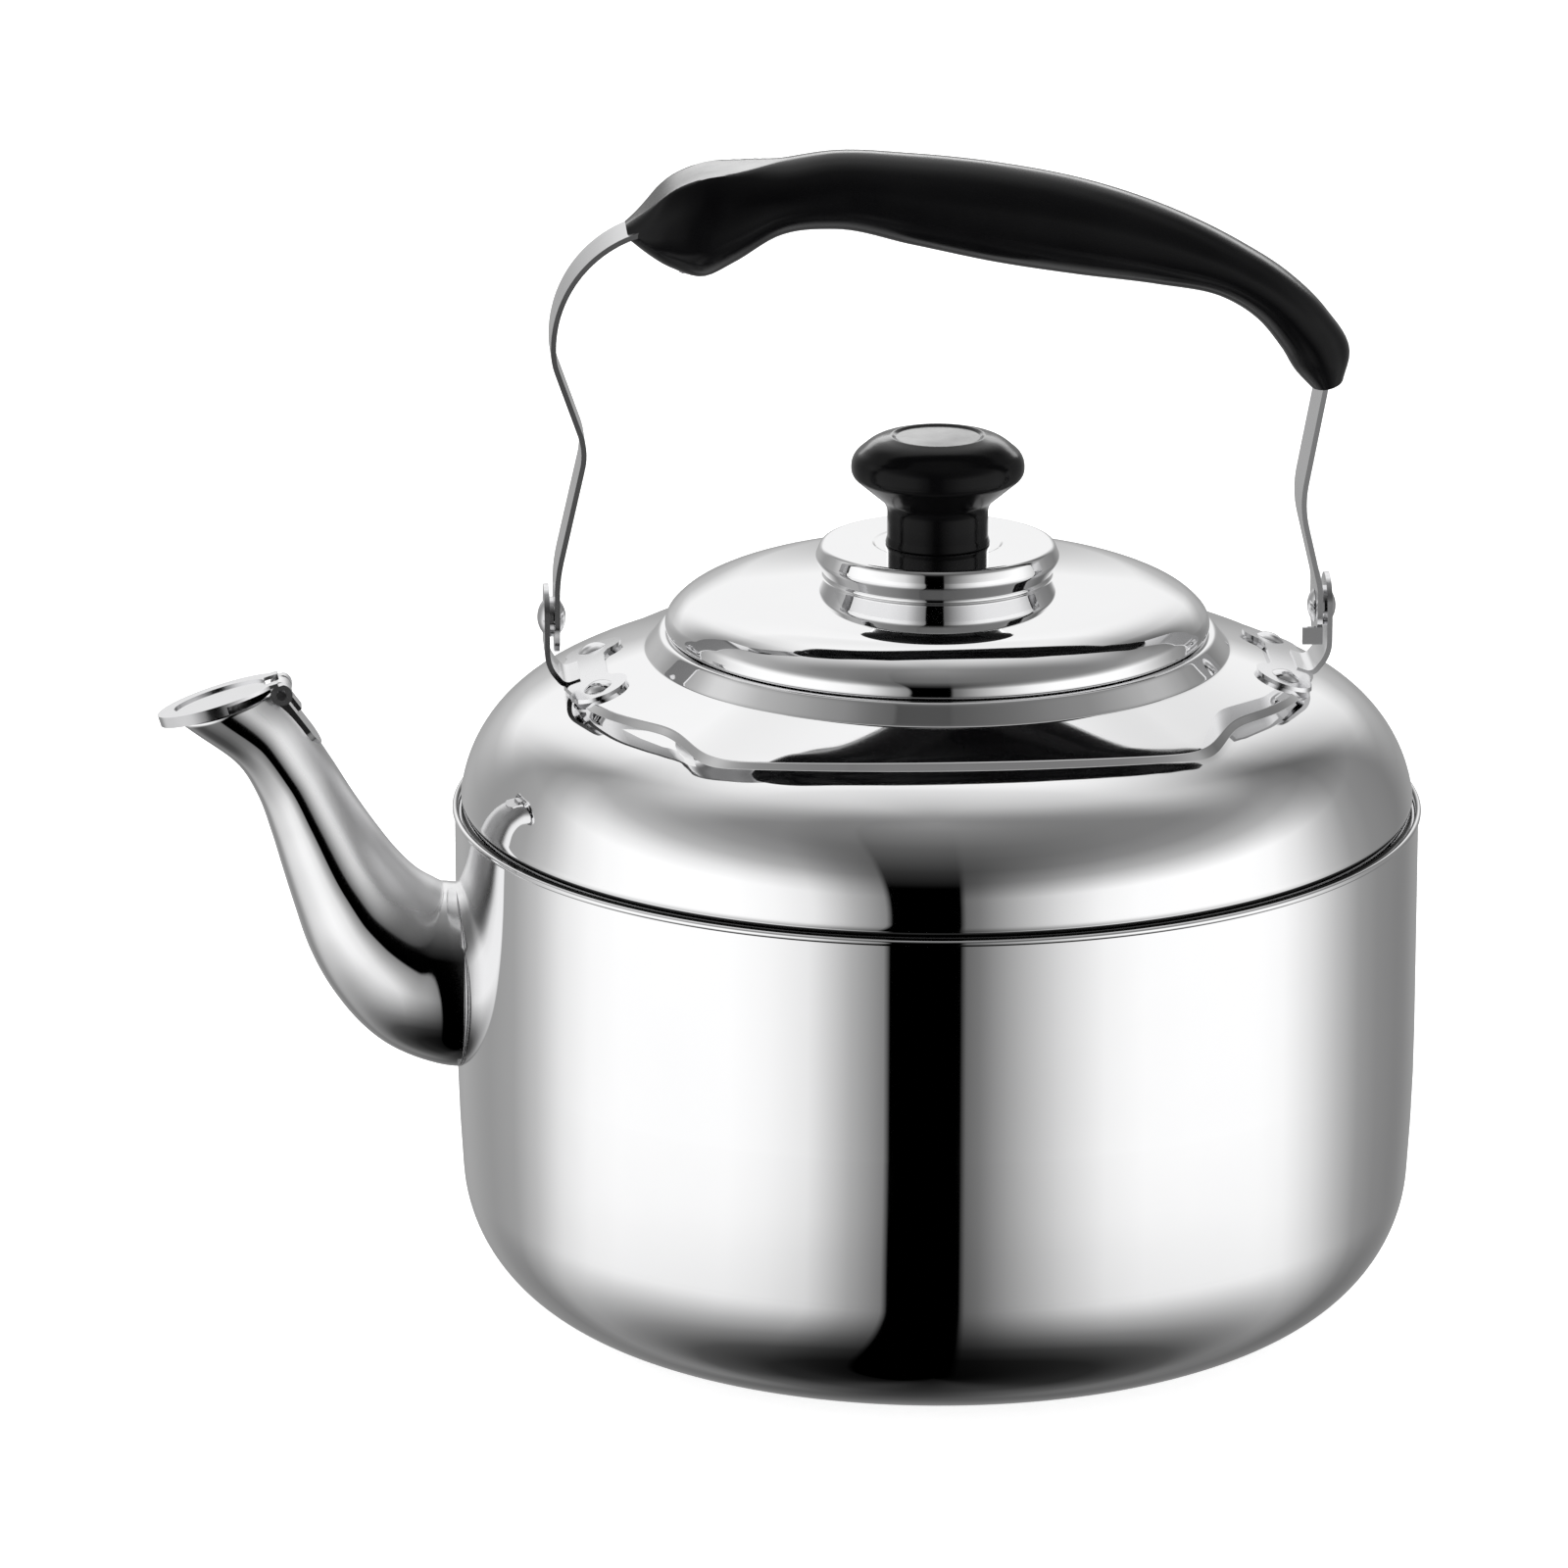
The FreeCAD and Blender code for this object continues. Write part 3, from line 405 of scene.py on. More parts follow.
def black_moulding(name):
    """Glossy black phenolic: near black, with faint flow marks and a soft polish."""
    material, nodes, links, shader = new_material(name)
    coordinates = nodes.new("ShaderNodeTexCoord").outputs["Object"]
    cloud = add_noise(nodes, links, coordinates, CLOUD_SCALE)
    links.new(mix_colours(nodes, links, cloud.outputs["Fac"], *MOULDING_COLOURS), shader.inputs["Base Color"])
    links.new(spread(nodes, links, cloud.outputs["Fac"], *MOULDING_ROUGHNESS), shader.inputs["Roughness"])
    grain = add_noise(nodes, links, coordinates, GRAIN_SCALE, 3.0)
    add_bump(nodes, links, shader, grain, GRAIN_STRENGTH, GRAIN_HEIGHT)
    shader.inputs["Specular IOR Level"].default_value = MOULDING_SHINE
    return material


# seam=True paints shade into the open seam between pot and shoulder
MIRROR = steel("mirror_steel", (0.88, 0.88, 0.885), 0.012, 0.035, bump=0.03, streak=(1, 1, 0.05),
               seam=True)
TUBE = steel("tube_steel", (0.84, 0.84, 0.845), 0.018, 0.025, bump=0.02, streak=(1, 1, 0.2),
             inner_bend=True)
CAP = steel("cap_steel", (0.78, 0.78, 0.79), 0.10, 0.10, bump=0.05, streak=(0.1, 1, 1))
STRAP = steel("strap_steel", (0.80, 0.80, 0.81), 0.10, 0.10, bump=0.04, streak=(1, 1, 0.05))
BRIGHT = steel("bright_steel", (0.82, 0.82, 0.83), 0.06, 0.08)
SATIN = steel("satin_steel", (0.68, 0.68, 0.69), 0.28, 0.12, streak=(1, 1, 0.1))
BLACK = black_moulding("black_moulding")


# ---------------------------------------------------------------- pot
# Spout: centre x, centre z, diameter, slope of the centre line in degrees
SPOUT_STATIONS = [(-103.0, 78.5, 41.0, 0.0), (-113.5, 79.0, 40.5, 5.0), (-120.0, 81.5, 38.0, 20.0),
                  (-127.4, 88.6, 33.0, 42.0), (-131.6, 94.6, 29.2, 55.0), (-135.4, 101.6, 25.4, 62.0),
                  (-139.2, 109.4, 22.2, 65.0), (-143.0, 117.7, 19.3, 65.5), (-147.2, 126.6, 17.2, 63.0),
                  (-153.0, 135.6, 16.8, 56.0)]
# Rolled edge in degrees, from where it leaves the wall
BEAD_START, BEAD_SWEEP, BEAD_STEPS = -70, 215, 14
POT_ARC_STEP = 2.0
HOLE_STEPS = 64
HOLE_REACH = (5, 15)


def rim_bead():
    """Section of the rolled edge, from the outside of the wall up and over."""
    angles = [math.radians(BEAD_START + BEAD_SWEEP * i / BEAD_STEPS) for i in range(BEAD_STEPS + 1)]
    centre = POT_RADIUS - BEAD_INSET
    return [(centre + BEAD_RADIUS * math.cos(a), BEAD_Z + BEAD_RADIUS * math.sin(a)) for a in angles]


def steam_hole():
    """A round plug through the wall behind the spout."""
    hole_z = SPOUT_STATIONS[0][1]
    ring = [(STEAM_HOLE_RADIUS * math.cos(a), hole_z + STEAM_HOLE_RADIUS * math.sin(a))
            for a in around(HOLE_STEPS)]
    ends = (-POT_RADIUS - HOLE_REACH[0], -POT_RADIUS + HOLE_REACH[1])
    verts = [(x, y, z) for x in ends for y, z in ring]
    outer_end = list(range(HOLE_STEPS))[::-1]
    inner_end = list(range(HOLE_STEPS, 2 * HOLE_STEPS))
    return verts, grid_faces(2, HOLE_STEPS) + [outer_end, inner_end]


def make_pot():
    """Deep drawn pot, turned, with a finely rolled edge and a steam hole behind the spout."""
    wall = [(POT_RADIUS, BEAD_Z - BEAD_RADIUS), (POT_RADIUS, POT_TAPER_Z), (POT_BASE_CORNER, 0.0), (0.0, 0.0)]
    outer = rounded_path(wall, POT_ROUNDS, POT_ARC_STEP)
    inner = rounded_path(*offset_path(wall, POT_ROUNDS, SHEET), POT_ARC_STEP)
    verts, faces = lathe(inner[::-1] + rim_bead()[::-1] + outer)
    piece = add_piece("pot_body", verts, faces, "kettle", ["pot"], MIRROR)
    cut_away(piece, *steam_hole())


make_pot()


# ---------------------------------------------------------------- shoulder
# Plateau outline: an arc at each side, a flatter arc at front and back, and a slanted line between them.
# Below LOBE_SIDE_ONLY degrees from the X axis it is the side arc alone.
LOBE_SIDE_X, LOBE_SIDE_R = 18.0, 67.2
LOBE_FRONT_Y, LOBE_FRONT_R = -43.0, 124.3
LOBE_NOTCH = np.array([62.6, 52.5])
LOBE_CORNER = np.array([57.4, 66.0])
LOBE_SIDE_ONLY = 30
# Section of the skirt, the seam's groove and the dome, from the seam up
DOME_CORNERS = [(SKIRT_RADIUS, 113.5), (SKIRT_RADIUS, 116.9), (SKIRT_RADIUS - 1.1, 118.2),
                (DOME_RADIUS, 121.0), (106.1, 136.7), (87.4, 147.2), (55.0, 155.1)]
DOME_ROUNDS = [0.0, 0.4, 5.0, 30.0, 58.0]
DOME_STEEP_Z = 127.0
DOME_JOIN_Z = 140.0
BEVEL_WIDTH = 1.5
BEVEL_EDGE_ROUND = 1.1
BEVEL_CREASE_ROUND = 0.5
BEVEL_RUN_OUT = 1.6
PLATEAU_START = COLLAR_FOOT[0] + 3.0
SHOULDER_COLUMNS = 720
CREASE_BLUR, EDGE_BLUR = 5.0, 7.0
RUN_OUT_ROWS = 10
JOIN_GAP = 0.6
CREASE_LIFT = 0.05
PLATEAU_ROWS = (0.0, 0.15, 0.35, 0.55, 0.72)
EDGE_STEPS, CREASE_STEPS = 6, 3
LONGEST_TRIM = 0.45
COLLAR_ARC_STEP = 10.0


def lobe_radius(angles, inset):
    """Distance from the axis to the plateau's lobed outline, for each polar angle."""
    folded = np.abs((np.degrees(angles) + 90) % 180 - 90)
    ray = np.stack([np.cos(np.radians(folded)), np.sin(np.radians(folded))], axis=-1)
    side_b = ray[:, 0] * LOBE_SIDE_X
    side = side_b + np.sqrt(side_b ** 2 - LOBE_SIDE_X ** 2 + (LOBE_SIDE_R - inset) ** 2)
    front_b = ray[:, 1] * LOBE_FRONT_Y
    front = front_b + np.sqrt(front_b ** 2 - LOBE_FRONT_Y ** 2 + (LOBE_FRONT_R - inset) ** 2)
    way = (LOBE_CORNER - LOBE_NOTCH) / np.linalg.norm(LOBE_CORNER - LOBE_NOTCH)
    normal = np.array([way[1], -way[0]])
    line = (float(LOBE_NOTCH @ normal) - inset) / np.maximum(ray @ normal, 1e-6)
    inner = np.minimum(front, np.maximum(side, line))
    return np.where(folded < LOBE_SIDE_ONLY, side, inner)


def blurred(values, width):
    """A closed ring of values smoothed by a bell curve that many columns wide."""
    reach = int(3 * width)
    weights = np.exp(-0.5 * (np.arange(-reach, reach + 1) / width) ** 2)
    weights /= weights.sum()
    padded = np.concatenate([values[-reach:], values, values[:reach]])
    return np.convolve(padded, weights, "valid")


DOME_PATH = np.array(rounded_path(DOME_CORNERS, DOME_ROUNDS, 1.5, 3.0))


def dome_z(radius):
    """Height of the dome's outer face above a radius inside its steep part."""
    upper = DOME_PATH[DOME_PATH[:, 1] > DOME_STEEP_Z][::-1]
    return np.interp(radius, upper[:, 0], upper[:, 1])


def plateau_z(radius):
    """Height of the plateau's cone."""
    return COLLAR_FOOT[1] - PLATEAU_SLOPE * (radius - COLLAR_FOOT[0])


def make_shoulder():
    """Domed shoulder with its lobed plateau and neck collar, as one pressed sheet."""
    angles = around(SHOULDER_COLUMNS)
    creases = blurred(lobe_radius(angles, 0.0), CREASE_BLUR)
    edges = blurred(lobe_radius(angles, BEVEL_WIDTH), EDGE_BLUR)
    start = np.array([PLATEAU_START, plateau_z(PLATEAU_START)])
    collar = [(NECK_RADIUS, NECK_Z - NECK_DEPTH), (NECK_RADIUS, NECK_Z), (COLLAR_TOP_RADIUS, NECK_Z),
              COLLAR_FOOT, start]
    collar_rows = rounded_path(collar, COLLAR_ROUNDS, COLLAR_ARC_STEP)[:-1]
    steep = [p for p in DOME_PATH[::-1] if p[1] < DOME_JOIN_Z]
    join = steep[0][0] - JOIN_GAP
    columns = []
    for low, top in zip(creases, edges):
        crease = np.array([low, dome_z(low) + CREASE_LIFT])
        edge = np.array([top, plateau_z(top)])
        foot = np.array([low + BEVEL_RUN_OUT, dome_z(low + BEVEL_RUN_OUT)])
        rows = collar_rows + section_rows(start, edge, crease, foot)
        for i in range(1, RUN_OUT_ROWS + 1):
            radius = foot[0] + (join - foot[0]) * i / RUN_OUT_ROWS
            rows.append(np.array([radius, dome_z(radius)]))
        columns.append(rows + steep)
    verts = []
    for ring in zip(*columns):
        for (radius, z), angle in zip(ring, angles):
            verts.append((radius * math.cos(angle), radius * math.sin(angle), z))
    faces = grid_faces(len(columns[0]), SHOULDER_COLUMNS)
    piece = add_piece("shoulder_shell", verts, faces, "kettle", ["shoulder"], MIRROR,
                      SHEET_SHARP)
    thicken(piece)


def section_rows(start, edge, crease, foot):
    """One section from the plateau over its soft edge, down the bevel and out onto the dome."""
    rows = [start + (edge - start) * t for t in PLATEAU_ROWS]
    bends = ((edge, start, crease, BEVEL_EDGE_ROUND, EDGE_STEPS),
             (crease, edge, foot, BEVEL_CREASE_ROUND, CREASE_STEPS))
    for corner, before, after, radius, steps in bends:
        way_in = (corner - before) / np.linalg.norm(corner - before)
        way_out = (after - corner) / np.linalg.norm(after - corner)
        turn = math.acos(max(-1.0, min(1.0, float(way_in @ way_out))))
        trim = min(radius * math.tan(turn / 2), LONGEST_TRIM * np.linalg.norm(after - corner))
        radius = trim / math.tan(turn / 2)
        side = way_out - way_in * float(way_in @ way_out)
        side /= np.linalg.norm(side)
        begin = corner - way_in * trim
        for i in range(steps + 1):
            angle = turn * i / steps
            rows.append(begin + way_in * radius * math.sin(angle) + side * radius * (1 - math.cos(angle)))
    rows.append(foot)
    return rows


make_shoulder()


# ---------------------------------------------------------------- lid and knob
RING_STEP = 0.25
LID_CORNERS = [(0.0, LID_TOP_Z - RING_STEP), (14.3, LID_TOP_Z - RING_STEP), (14.9, LID_TOP_Z),
               (26.6, LID_TOP_Z), (PEDESTAL_RADIUS, LID_TOP_Z - 3.4), (25.6, LID_TOP_Z - 7.7),
               (51.5, LID_TOP_Z - 10.2), (59.0, LID_TOP_Z - 14.0), (LID_RADIUS, LID_TOP_Z - 17.4),
               (LID_RADIUS, LID_EDGE_Z), (60.5, LID_EDGE_Z)]
LID_ROUNDS = [0.3, 0.3, 1.6, 2.0, 0.6, 30.0, 14.0, 4.0, 1.1]


def make_lid():
    """Pressed lid: pedestal, shallow dome and curled rim."""
    loop = sheet_loop(LID_CORNERS, LID_ROUNDS, SHEET, 3.0)
    verts, faces = lathe(loop)
    add_piece("lid_shell", verts, faces, "lid", ["lid"], MIRROR)


KNOB_CORNERS = [(0.0, LID_TOP_Z - RING_STEP), (12.0, LID_TOP_Z - RING_STEP), (11.5, LID_TOP_Z + 1.6),
                (11.5, LID_TOP_Z + 9.0), (19.75, LID_TOP_Z + 16.0), (19.75, LID_TOP_Z + 20.0),
                (15.0, LID_TOP_Z + 24.0), (10.6, LID_TOP_Z + 25.1), (9.6, LID_TOP_Z + 24.6),
                (0.0, LID_TOP_Z + 24.6)]
KNOB_ROUNDS = [0.4, 1.0, 4.0, 3.0, 4.5, 9.0, 1.0, 0.6]
KNOB_STEPS = 128


def make_knob():
    """Mushroom knob with a waisted stem and a slightly dished top."""
    loop = rounded_path(KNOB_CORNERS, KNOB_ROUNDS, 6.0, 3.0)
    verts, faces = lathe(loop, KNOB_STEPS)
    return add_piece("knob_body", verts, faces, "lid", ["knob"], BLACK, KNOB_SHARP)


make_lid()
KNOB_PIECE = make_knob()


# ---------------------------------------------------------------- spout
MOUTH_CENTRE = (-13.1, 0.2)
MOUTH_HALF = (10.5, 7.9)
SPOUT_RINGS = 90
SPOUT_COLUMNS = 96


def from_cap(x, y, z):
    """A point laid out flat about the cap's pin, in the kettle's frame."""
    return np.array([CAP_PIN[0] + x * math.cos(CAP_TILT) - z * math.sin(CAP_TILT), y,
                     CAP_PIN[2] + x * math.sin(CAP_TILT) + z * math.cos(CAP_TILT)])


def smooth_through(stations, count):
    """Rows of values that pass smoothly through the given stations, spaced by their distance apart."""
    stations = np.array(stations, float)
    steps = np.linalg.norm(np.diff(stations[:, :2], axis=0), axis=1)
    at = np.concatenate([[0], np.cumsum(steps)])
    slopes = np.gradient(stations, at, axis=0)
    rows = []
    for place in np.linspace(0, at[-1], count):
        i = min(int(np.searchsorted(at, place, side="right")) - 1, len(at) - 2)
        span = at[i + 1] - at[i]
        t = (place - at[i]) / span
        rows.append((2 * t ** 3 - 3 * t ** 2 + 1) * stations[i] + (t ** 3 - 2 * t ** 2 + t) * span * slopes[i]
                    + (3 * t ** 2 - 2 * t ** 3) * stations[i + 1] + (t ** 3 - t ** 2) * span * slopes[i + 1])
    return rows


def make_spout():
    """Swan-neck spout: rings that shrink from the pot wall to an oval pouring mouth."""
    mouth = from_cap(MOUTH_CENTRE[0], 0, MOUTH_CENTRE[1])
    stations = [(x, z, d / 2, d / 2, slope) for x, z, d, slope in SPOUT_STATIONS]
    stations.append((mouth[0], mouth[2], *MOUTH_HALF, 90 - math.degrees(CAP_TILT)))
    rings = smooth_through(stations, SPOUT_RINGS)
    verts = []
    for x, z, tall, wide, slope in rings:
        slope = math.radians(slope)
        centre = np.array([x, 0, z])
        up = np.array([math.sin(slope), 0, math.cos(slope)])
        side = np.array([0, 1, 0])
        for angle in around(SPOUT_COLUMNS):
            verts.append(centre + up * tall * math.cos(angle) + side * wide * math.sin(angle))
    verts = np.array(verts).reshape(SPOUT_RINGS, SPOUT_COLUMNS, 3)
    for line in np.swapaxes(verts, 0, 1):
        end_at_wall(line)
    faces = grid_faces(SPOUT_RINGS, SPOUT_COLUMNS)
    piece = add_piece("spout_tube", verts.reshape(-1, 3), faces, "kettle", ["spout"], TUBE,
                      SHEET_SHARP)
    thicken(piece)


def end_at_wall(line):
    """Moves the points of a lengthwise line that lie inside the pot to where the line meets its wall."""
    depth = line[:, 0] + np.sqrt(POT_RADIUS ** 2 - line[:, 1] ** 2)
    last = int(np.nonzero(depth > 0)[0][-1])
    share = depth[last] / (depth[last] - depth[last + 1])
    line[:last + 1] = line[last] + (line[last + 1] - line[last]) * share


make_spout()


# ---------------------------------------------------------------- grip
# Sections from the spout's side: top x, top z, bottom x, bottom z, half width
GRIP_SECTIONS = [
    (-70.9, 255.0, -70.3, 251.6, 5.5), (-67.0, 258.2, -66.6, 248.6, 9.6),
    (-59.9, 264.2, -60.2, 244.6, 12.4), (-53.0, 266.8, -53.6, 242.7, 13.4),
    (-45.5, 267.7, -46.5, 245.9, 13.3), (-36.0, 269.0, -36.5, 251.9, 12.6),
    (-24.0, 270.7, -24.0, 253.3, 12.6), (-6.0, 269.8, -6.5, 249.5, 13.4),
    (14.0, 267.4, 12.5, 245.2, 13.8), (34.0, 263.2, 31.0, 242.1, 13.4),
    (53.0, 256.5, 49.0, 239.6, 12.4), (68.6, 248.6, 63.6, 236.6, 11.4),
    (79.8, 241.2, 72.2, 231.2, 10.8), (88.4, 232.6, 78.0, 224.1, 10.4),
    (93.6, 223.4, 81.4, 218.6, 10.2), (92.2, 217.2, 84.6, 215.2, 8.8)]
GRIP_RINGS, GRIP_COLUMNS = 120, 72
FACET_DEPTH = 0.26
FACET_NEAR, FACET_FAR = (-34.0, -52.0), (-71.0, -62.0)


def make_grip():
    """Moulded grip lofted through its sections, with a flat on top near the spout and closed ends."""
    rings = smooth_through(GRIP_SECTIONS, GRIP_RINGS)
    verts = []
    for top_x, top_z, low_x, low_z, half_width in rings:
        centre = np.array([(top_x + low_x) / 2, 0, (top_z + low_z) / 2])
        tall = np.array([(top_x - low_x) / 2, 0, (top_z - low_z) / 2])
        flat = 1.0 - FACET_DEPTH * float(smoothstep(top_x, *FACET_NEAR) * smoothstep(top_x, *FACET_FAR))
        for angle in around(GRIP_COLUMNS):
            c, s = math.cos(angle), math.sin(angle)
            reach = min(c / flat, 1.0) if c > 0 else c
            verts.append(centre + tall * reach + np.array([0, half_width * s, 0]))
    faces = grid_faces(GRIP_RINGS, GRIP_COLUMNS)
    faces.append(list(range(GRIP_COLUMNS))[::-1])
    faces.append([(GRIP_RINGS - 1) * GRIP_COLUMNS + k for k in range(GRIP_COLUMNS)])
    return add_piece("grip_body", verts, faces, "bail", ["grip"], BLACK, GRIP_SHARP)


GRIP_PIECE = make_grip()


# ---------------------------------------------------------------- CAD nodes that keep their own shape
CAD_LOOKS = {
    STRAP: ("bail_front_leg", "bail_rear_leg", "front_ear", "rear_ear"),
    BRIGHT: ("front_ear_rivets", "rear_ear_rivets", "front_pivot_rivet", "rear_pivot_rivet",
             "front_pivot_washer", "rear_pivot_washer", "cap_hinge_pin",
             "grip_front_screw", "grip_rear_screw", "knob_screw", "knob_washer"),
    CAP: ("spout_cap",),
    TUBE: ("cap_hinge_bracket",),
    SATIN: ("lid_ring", "whistle_cup", "whistle_plate"),
}
for look, nodes in CAD_LOOKS.items():
    for node in nodes:
        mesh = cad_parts[node].data
        mesh.materials.clear()
        mesh.materials.append(look)


# ---------------------------------------------------------------- floor, light and camera
FLOOR_HALF = 6.0
FLOOR_GLOW = 0.75


def make_floor():
    """Plain pale floor. Mirror surfaces don't see it, so that they show the studio instead."""
    mesh = bpy.data.meshes.new("floor")
    corners = [(-FLOOR_HALF, -FLOOR_HALF, 0), (FLOOR_HALF, -FLOOR_HALF, 0),
               (FLOOR_HALF, FLOOR_HALF, 0), (-FLOOR_HALF, FLOOR_HALF, 0)]
    mesh.from_pydata(corners, [], [(0, 1, 2, 3)])
    floor = bpy.data.objects.new("floor", mesh)
    bpy.context.scene.collection.objects.link(floor)
    material, *_, shader = new_material("floor_paper")
    shader.inputs["Base Color"].default_value = (0.9, 0.9, 0.9, 1)
    shader.inputs["Roughness"].default_value = 1.0
    shader.inputs["Specular IOR Level"].default_value = 0.0
    shader.inputs["Emission Color"].default_value = (1, 1, 1, 1)
    shader.inputs["Emission Strength"].default_value = FLOOR_GLOW
    mesh.materials.append(material)
    floor.visible_glossy = False


CAMERA_AZIMUTH = math.radians(-4.3)
CAMERA_TILT = math.radians(16.3)
CAMERA_DISTANCE = 2.25
CAMERA_LENS = 225.0
AIM_RIGHT, AIM_UP = -0.0350, 0.0027

# Studio light by azimuth, in degrees from the kettle's front, and by height above the horizon
PANEL_LIGHT = [(-160, 0.28), (-138, 0.30), (-124, 0.35), (-114, 0.52), (-104, 0.80), (-94, 0.95), (-84, 1.0),
               (-54, 1.0), (-44, 0.93), (-34, 0.80), (-24, 0.42), (-16.2, 0.22), (-15.8, 0.0), (1.6, 0.0),
               (2.0, 0.12), (6, 0.18), (16, 0.43), (26, 0.68), (36, 0.89), (46, 0.98), (58, 1.0), (78, 1.0),
               (86, 0.95), (96, 0.75), (106, 0.50), (116, 0.31), (126, 0.24), (146, 0.19), (160, 0.19)]
LEFT_HEIGHT = [(-90, 0.01), (-70, 0.02), (-60, 0.07), (-50, 0.22), (-40, 0.44), (-30, 0.70), (-22, 0.93),
               (-17, 1.0), (22, 1.0), (30, 0.80), (40, 0.44), (50, 0.26), (60, 0.16), (72, 0.11), (88, 0.0)]
RIGHT_HEIGHT = [(-90, 0.01), (-70, 0.02), (-60, 0.07), (-50, 0.22), (-40, 0.44), (-30, 0.70), (-22, 0.93),
                (-17, 1.0), (20, 1.0), (27, 0.70), (34, 0.42), (44, 0.22), (54, 0.14), (66, 0.10),
                (80, 0.04), (88, 0.0)]
REAR_HEIGHT = [(-90, 0.0), (-30, 0.06), (-5, 0.16), (6, 0.35), (14, 0.82), (40, 0.88), (50, 0.50), (62, 0.0)]
ZENITH_HEIGHT = [(-90, 0.0), (30, 0.0), (44, 0.03), (64, 0.10), (84, 0.21), (90, 0.24)]
BEHIND_LIGHT = 0.235
REAR_TOP_LIGHT = 0.72
EXPOSURE = 1.17
TABLE_SPAN = 190
SIDE_CHANGE = (-8.0, -6.0)
REAR_FADE = (138.0, 164.0)
BEHIND_FADE = (162.0, 179.0)
REAR_TOP_DEPTH, REAR_TOP_HEIGHT = (0.0, 0.62), (40.0, 62.0)


class Studio:
    """Builds the world's light as a formula of direction: azimuth 0 is the kettle's front, + towards +X."""

    def __init__(self, tree):
        self.nodes = tree.nodes
        self.links = tree.links

    def math(self, operation, *values, clamp=False):
        """One operation on sockets and numbers."""
        node = self.nodes.new("ShaderNodeMath")
        node.operation = operation
        node.use_clamp = clamp
        for socket, value in zip(node.inputs, values):
            if isinstance(value, (int, float)):
                socket.default_value = value
            else:
                self.links.new(value, socket)
        return node.outputs["Value"]

    def fade(self, value, start, end, smooth=True):
        """0 below start, 1 above end."""
        node = self.nodes.new("ShaderNodeMapRange")
        node.interpolation_type = "SMOOTHSTEP" if smooth else "LINEAR"
        node.inputs["From Min"].default_value = start
        node.inputs["From Max"].default_value = end
        self.links.new(value, node.inputs["Value"])
        return node.outputs["Result"]

    def table(self, value, low, high, stops):
        """A value looked up between stops of (place, light), with straight runs between them."""
        ramp = self.nodes.new("ShaderNodeValToRGB")
        elements = ramp.color_ramp.elements
        while len(elements) < len(stops):
            elements.new(0.5)
        for element, (place, light) in zip(elements, stops):
            element.position = (place - low) / (high - low)
            element.color = (light, light, light, 1)
        self.links.new(self.fade(value, low, high, smooth=False), ramp.inputs["Fac"])
        return ramp.outputs["Color"]

    def product(self, *values):
        """All the values multiplied together."""
        result = values[0]
        for value in values[1:]:
            result = self.math("MULTIPLY", result, value)
        return result


def make_studio():
    """Two wide softboxes at the front left and right, a dark gap between them, and soft fill behind."""
    world = bpy.data.worlds.new("studio")
    bpy.context.scene.world = world
    world.use_nodes = True
    tree = world.node_tree
    studio = Studio(tree)
    background = tree.nodes["Background"]
    background.inputs["Color"].default_value = (1, 1, 1, 1)
    direction = tree.nodes.new("ShaderNodeTexCoord").outputs["Generated"]
    split = tree.nodes.new("ShaderNodeSeparateXYZ")
    tree.links.new(direction, split.inputs["Vector"])
    x, y, z = split.outputs
    azimuth = studio.math("DEGREES", studio.math("ARCTAN2", x, studio.math("MULTIPLY", y, -1.0)))
    elevation = studio.math("DEGREES", studio.math("ARCSINE", z))
    away = studio.math("ABSOLUTE", azimuth)

    # The panels' edges lean outwards with height, and stand at their listed azimuths where the wall
    # mirrors them.
    level = studio.math("COSINE", studio.math("RADIANS", elevation))
    lean = studio.math("MULTIPLY", level, 1.0 / math.cos(CAMERA_TILT))
    panels = studio.table(studio.math("MULTIPLY", azimuth, lean), -TABLE_SPAN, TABLE_SPAN, PANEL_LIGHT)
    behind = studio.fade(away, *BEHIND_FADE)
    panels = studio.math("ADD", studio.math("MULTIPLY", panels, studio.math("SUBTRACT", 1.0, behind)),
                         studio.math("MULTIPLY", behind, BEHIND_LIGHT))
    left = studio.table(elevation, -90, 90, LEFT_HEIGHT)
    right = studio.table(elevation, -90, 90, RIGHT_HEIGHT)
    on_right = studio.fade(azimuth, *SIDE_CHANGE)
    on_left = studio.math("SUBTRACT", 1.0, on_right)
    height = studio.math("ADD", studio.math("MULTIPLY", left, on_left),
                         studio.math("MULTIPLY", right, on_right))
    boxes = studio.math("MULTIPLY", panels, height)
    zenith = studio.table(elevation, -90, 90, ZENITH_HEIGHT)
    rear = studio.math("MULTIPLY", studio.fade(away, *REAR_FADE),
                       studio.table(elevation, -90, 90, REAR_HEIGHT))
    rear_top = studio.product(studio.fade(y, *REAR_TOP_DEPTH), studio.fade(elevation, *REAR_TOP_HEIGHT),
                              REAR_TOP_LIGHT)
    total = boxes
    for part in (zenith, rear, rear_top):
        room = studio.math("SUBTRACT", 1.0, boxes, clamp=True)
        total = studio.math("ADD", total, studio.math("MULTIPLY", part, room))
    total = studio.math("MULTIPLY", total, EXPOSURE)
    tree.links.new(total, background.inputs["Strength"])
    show_paper(tree, background)


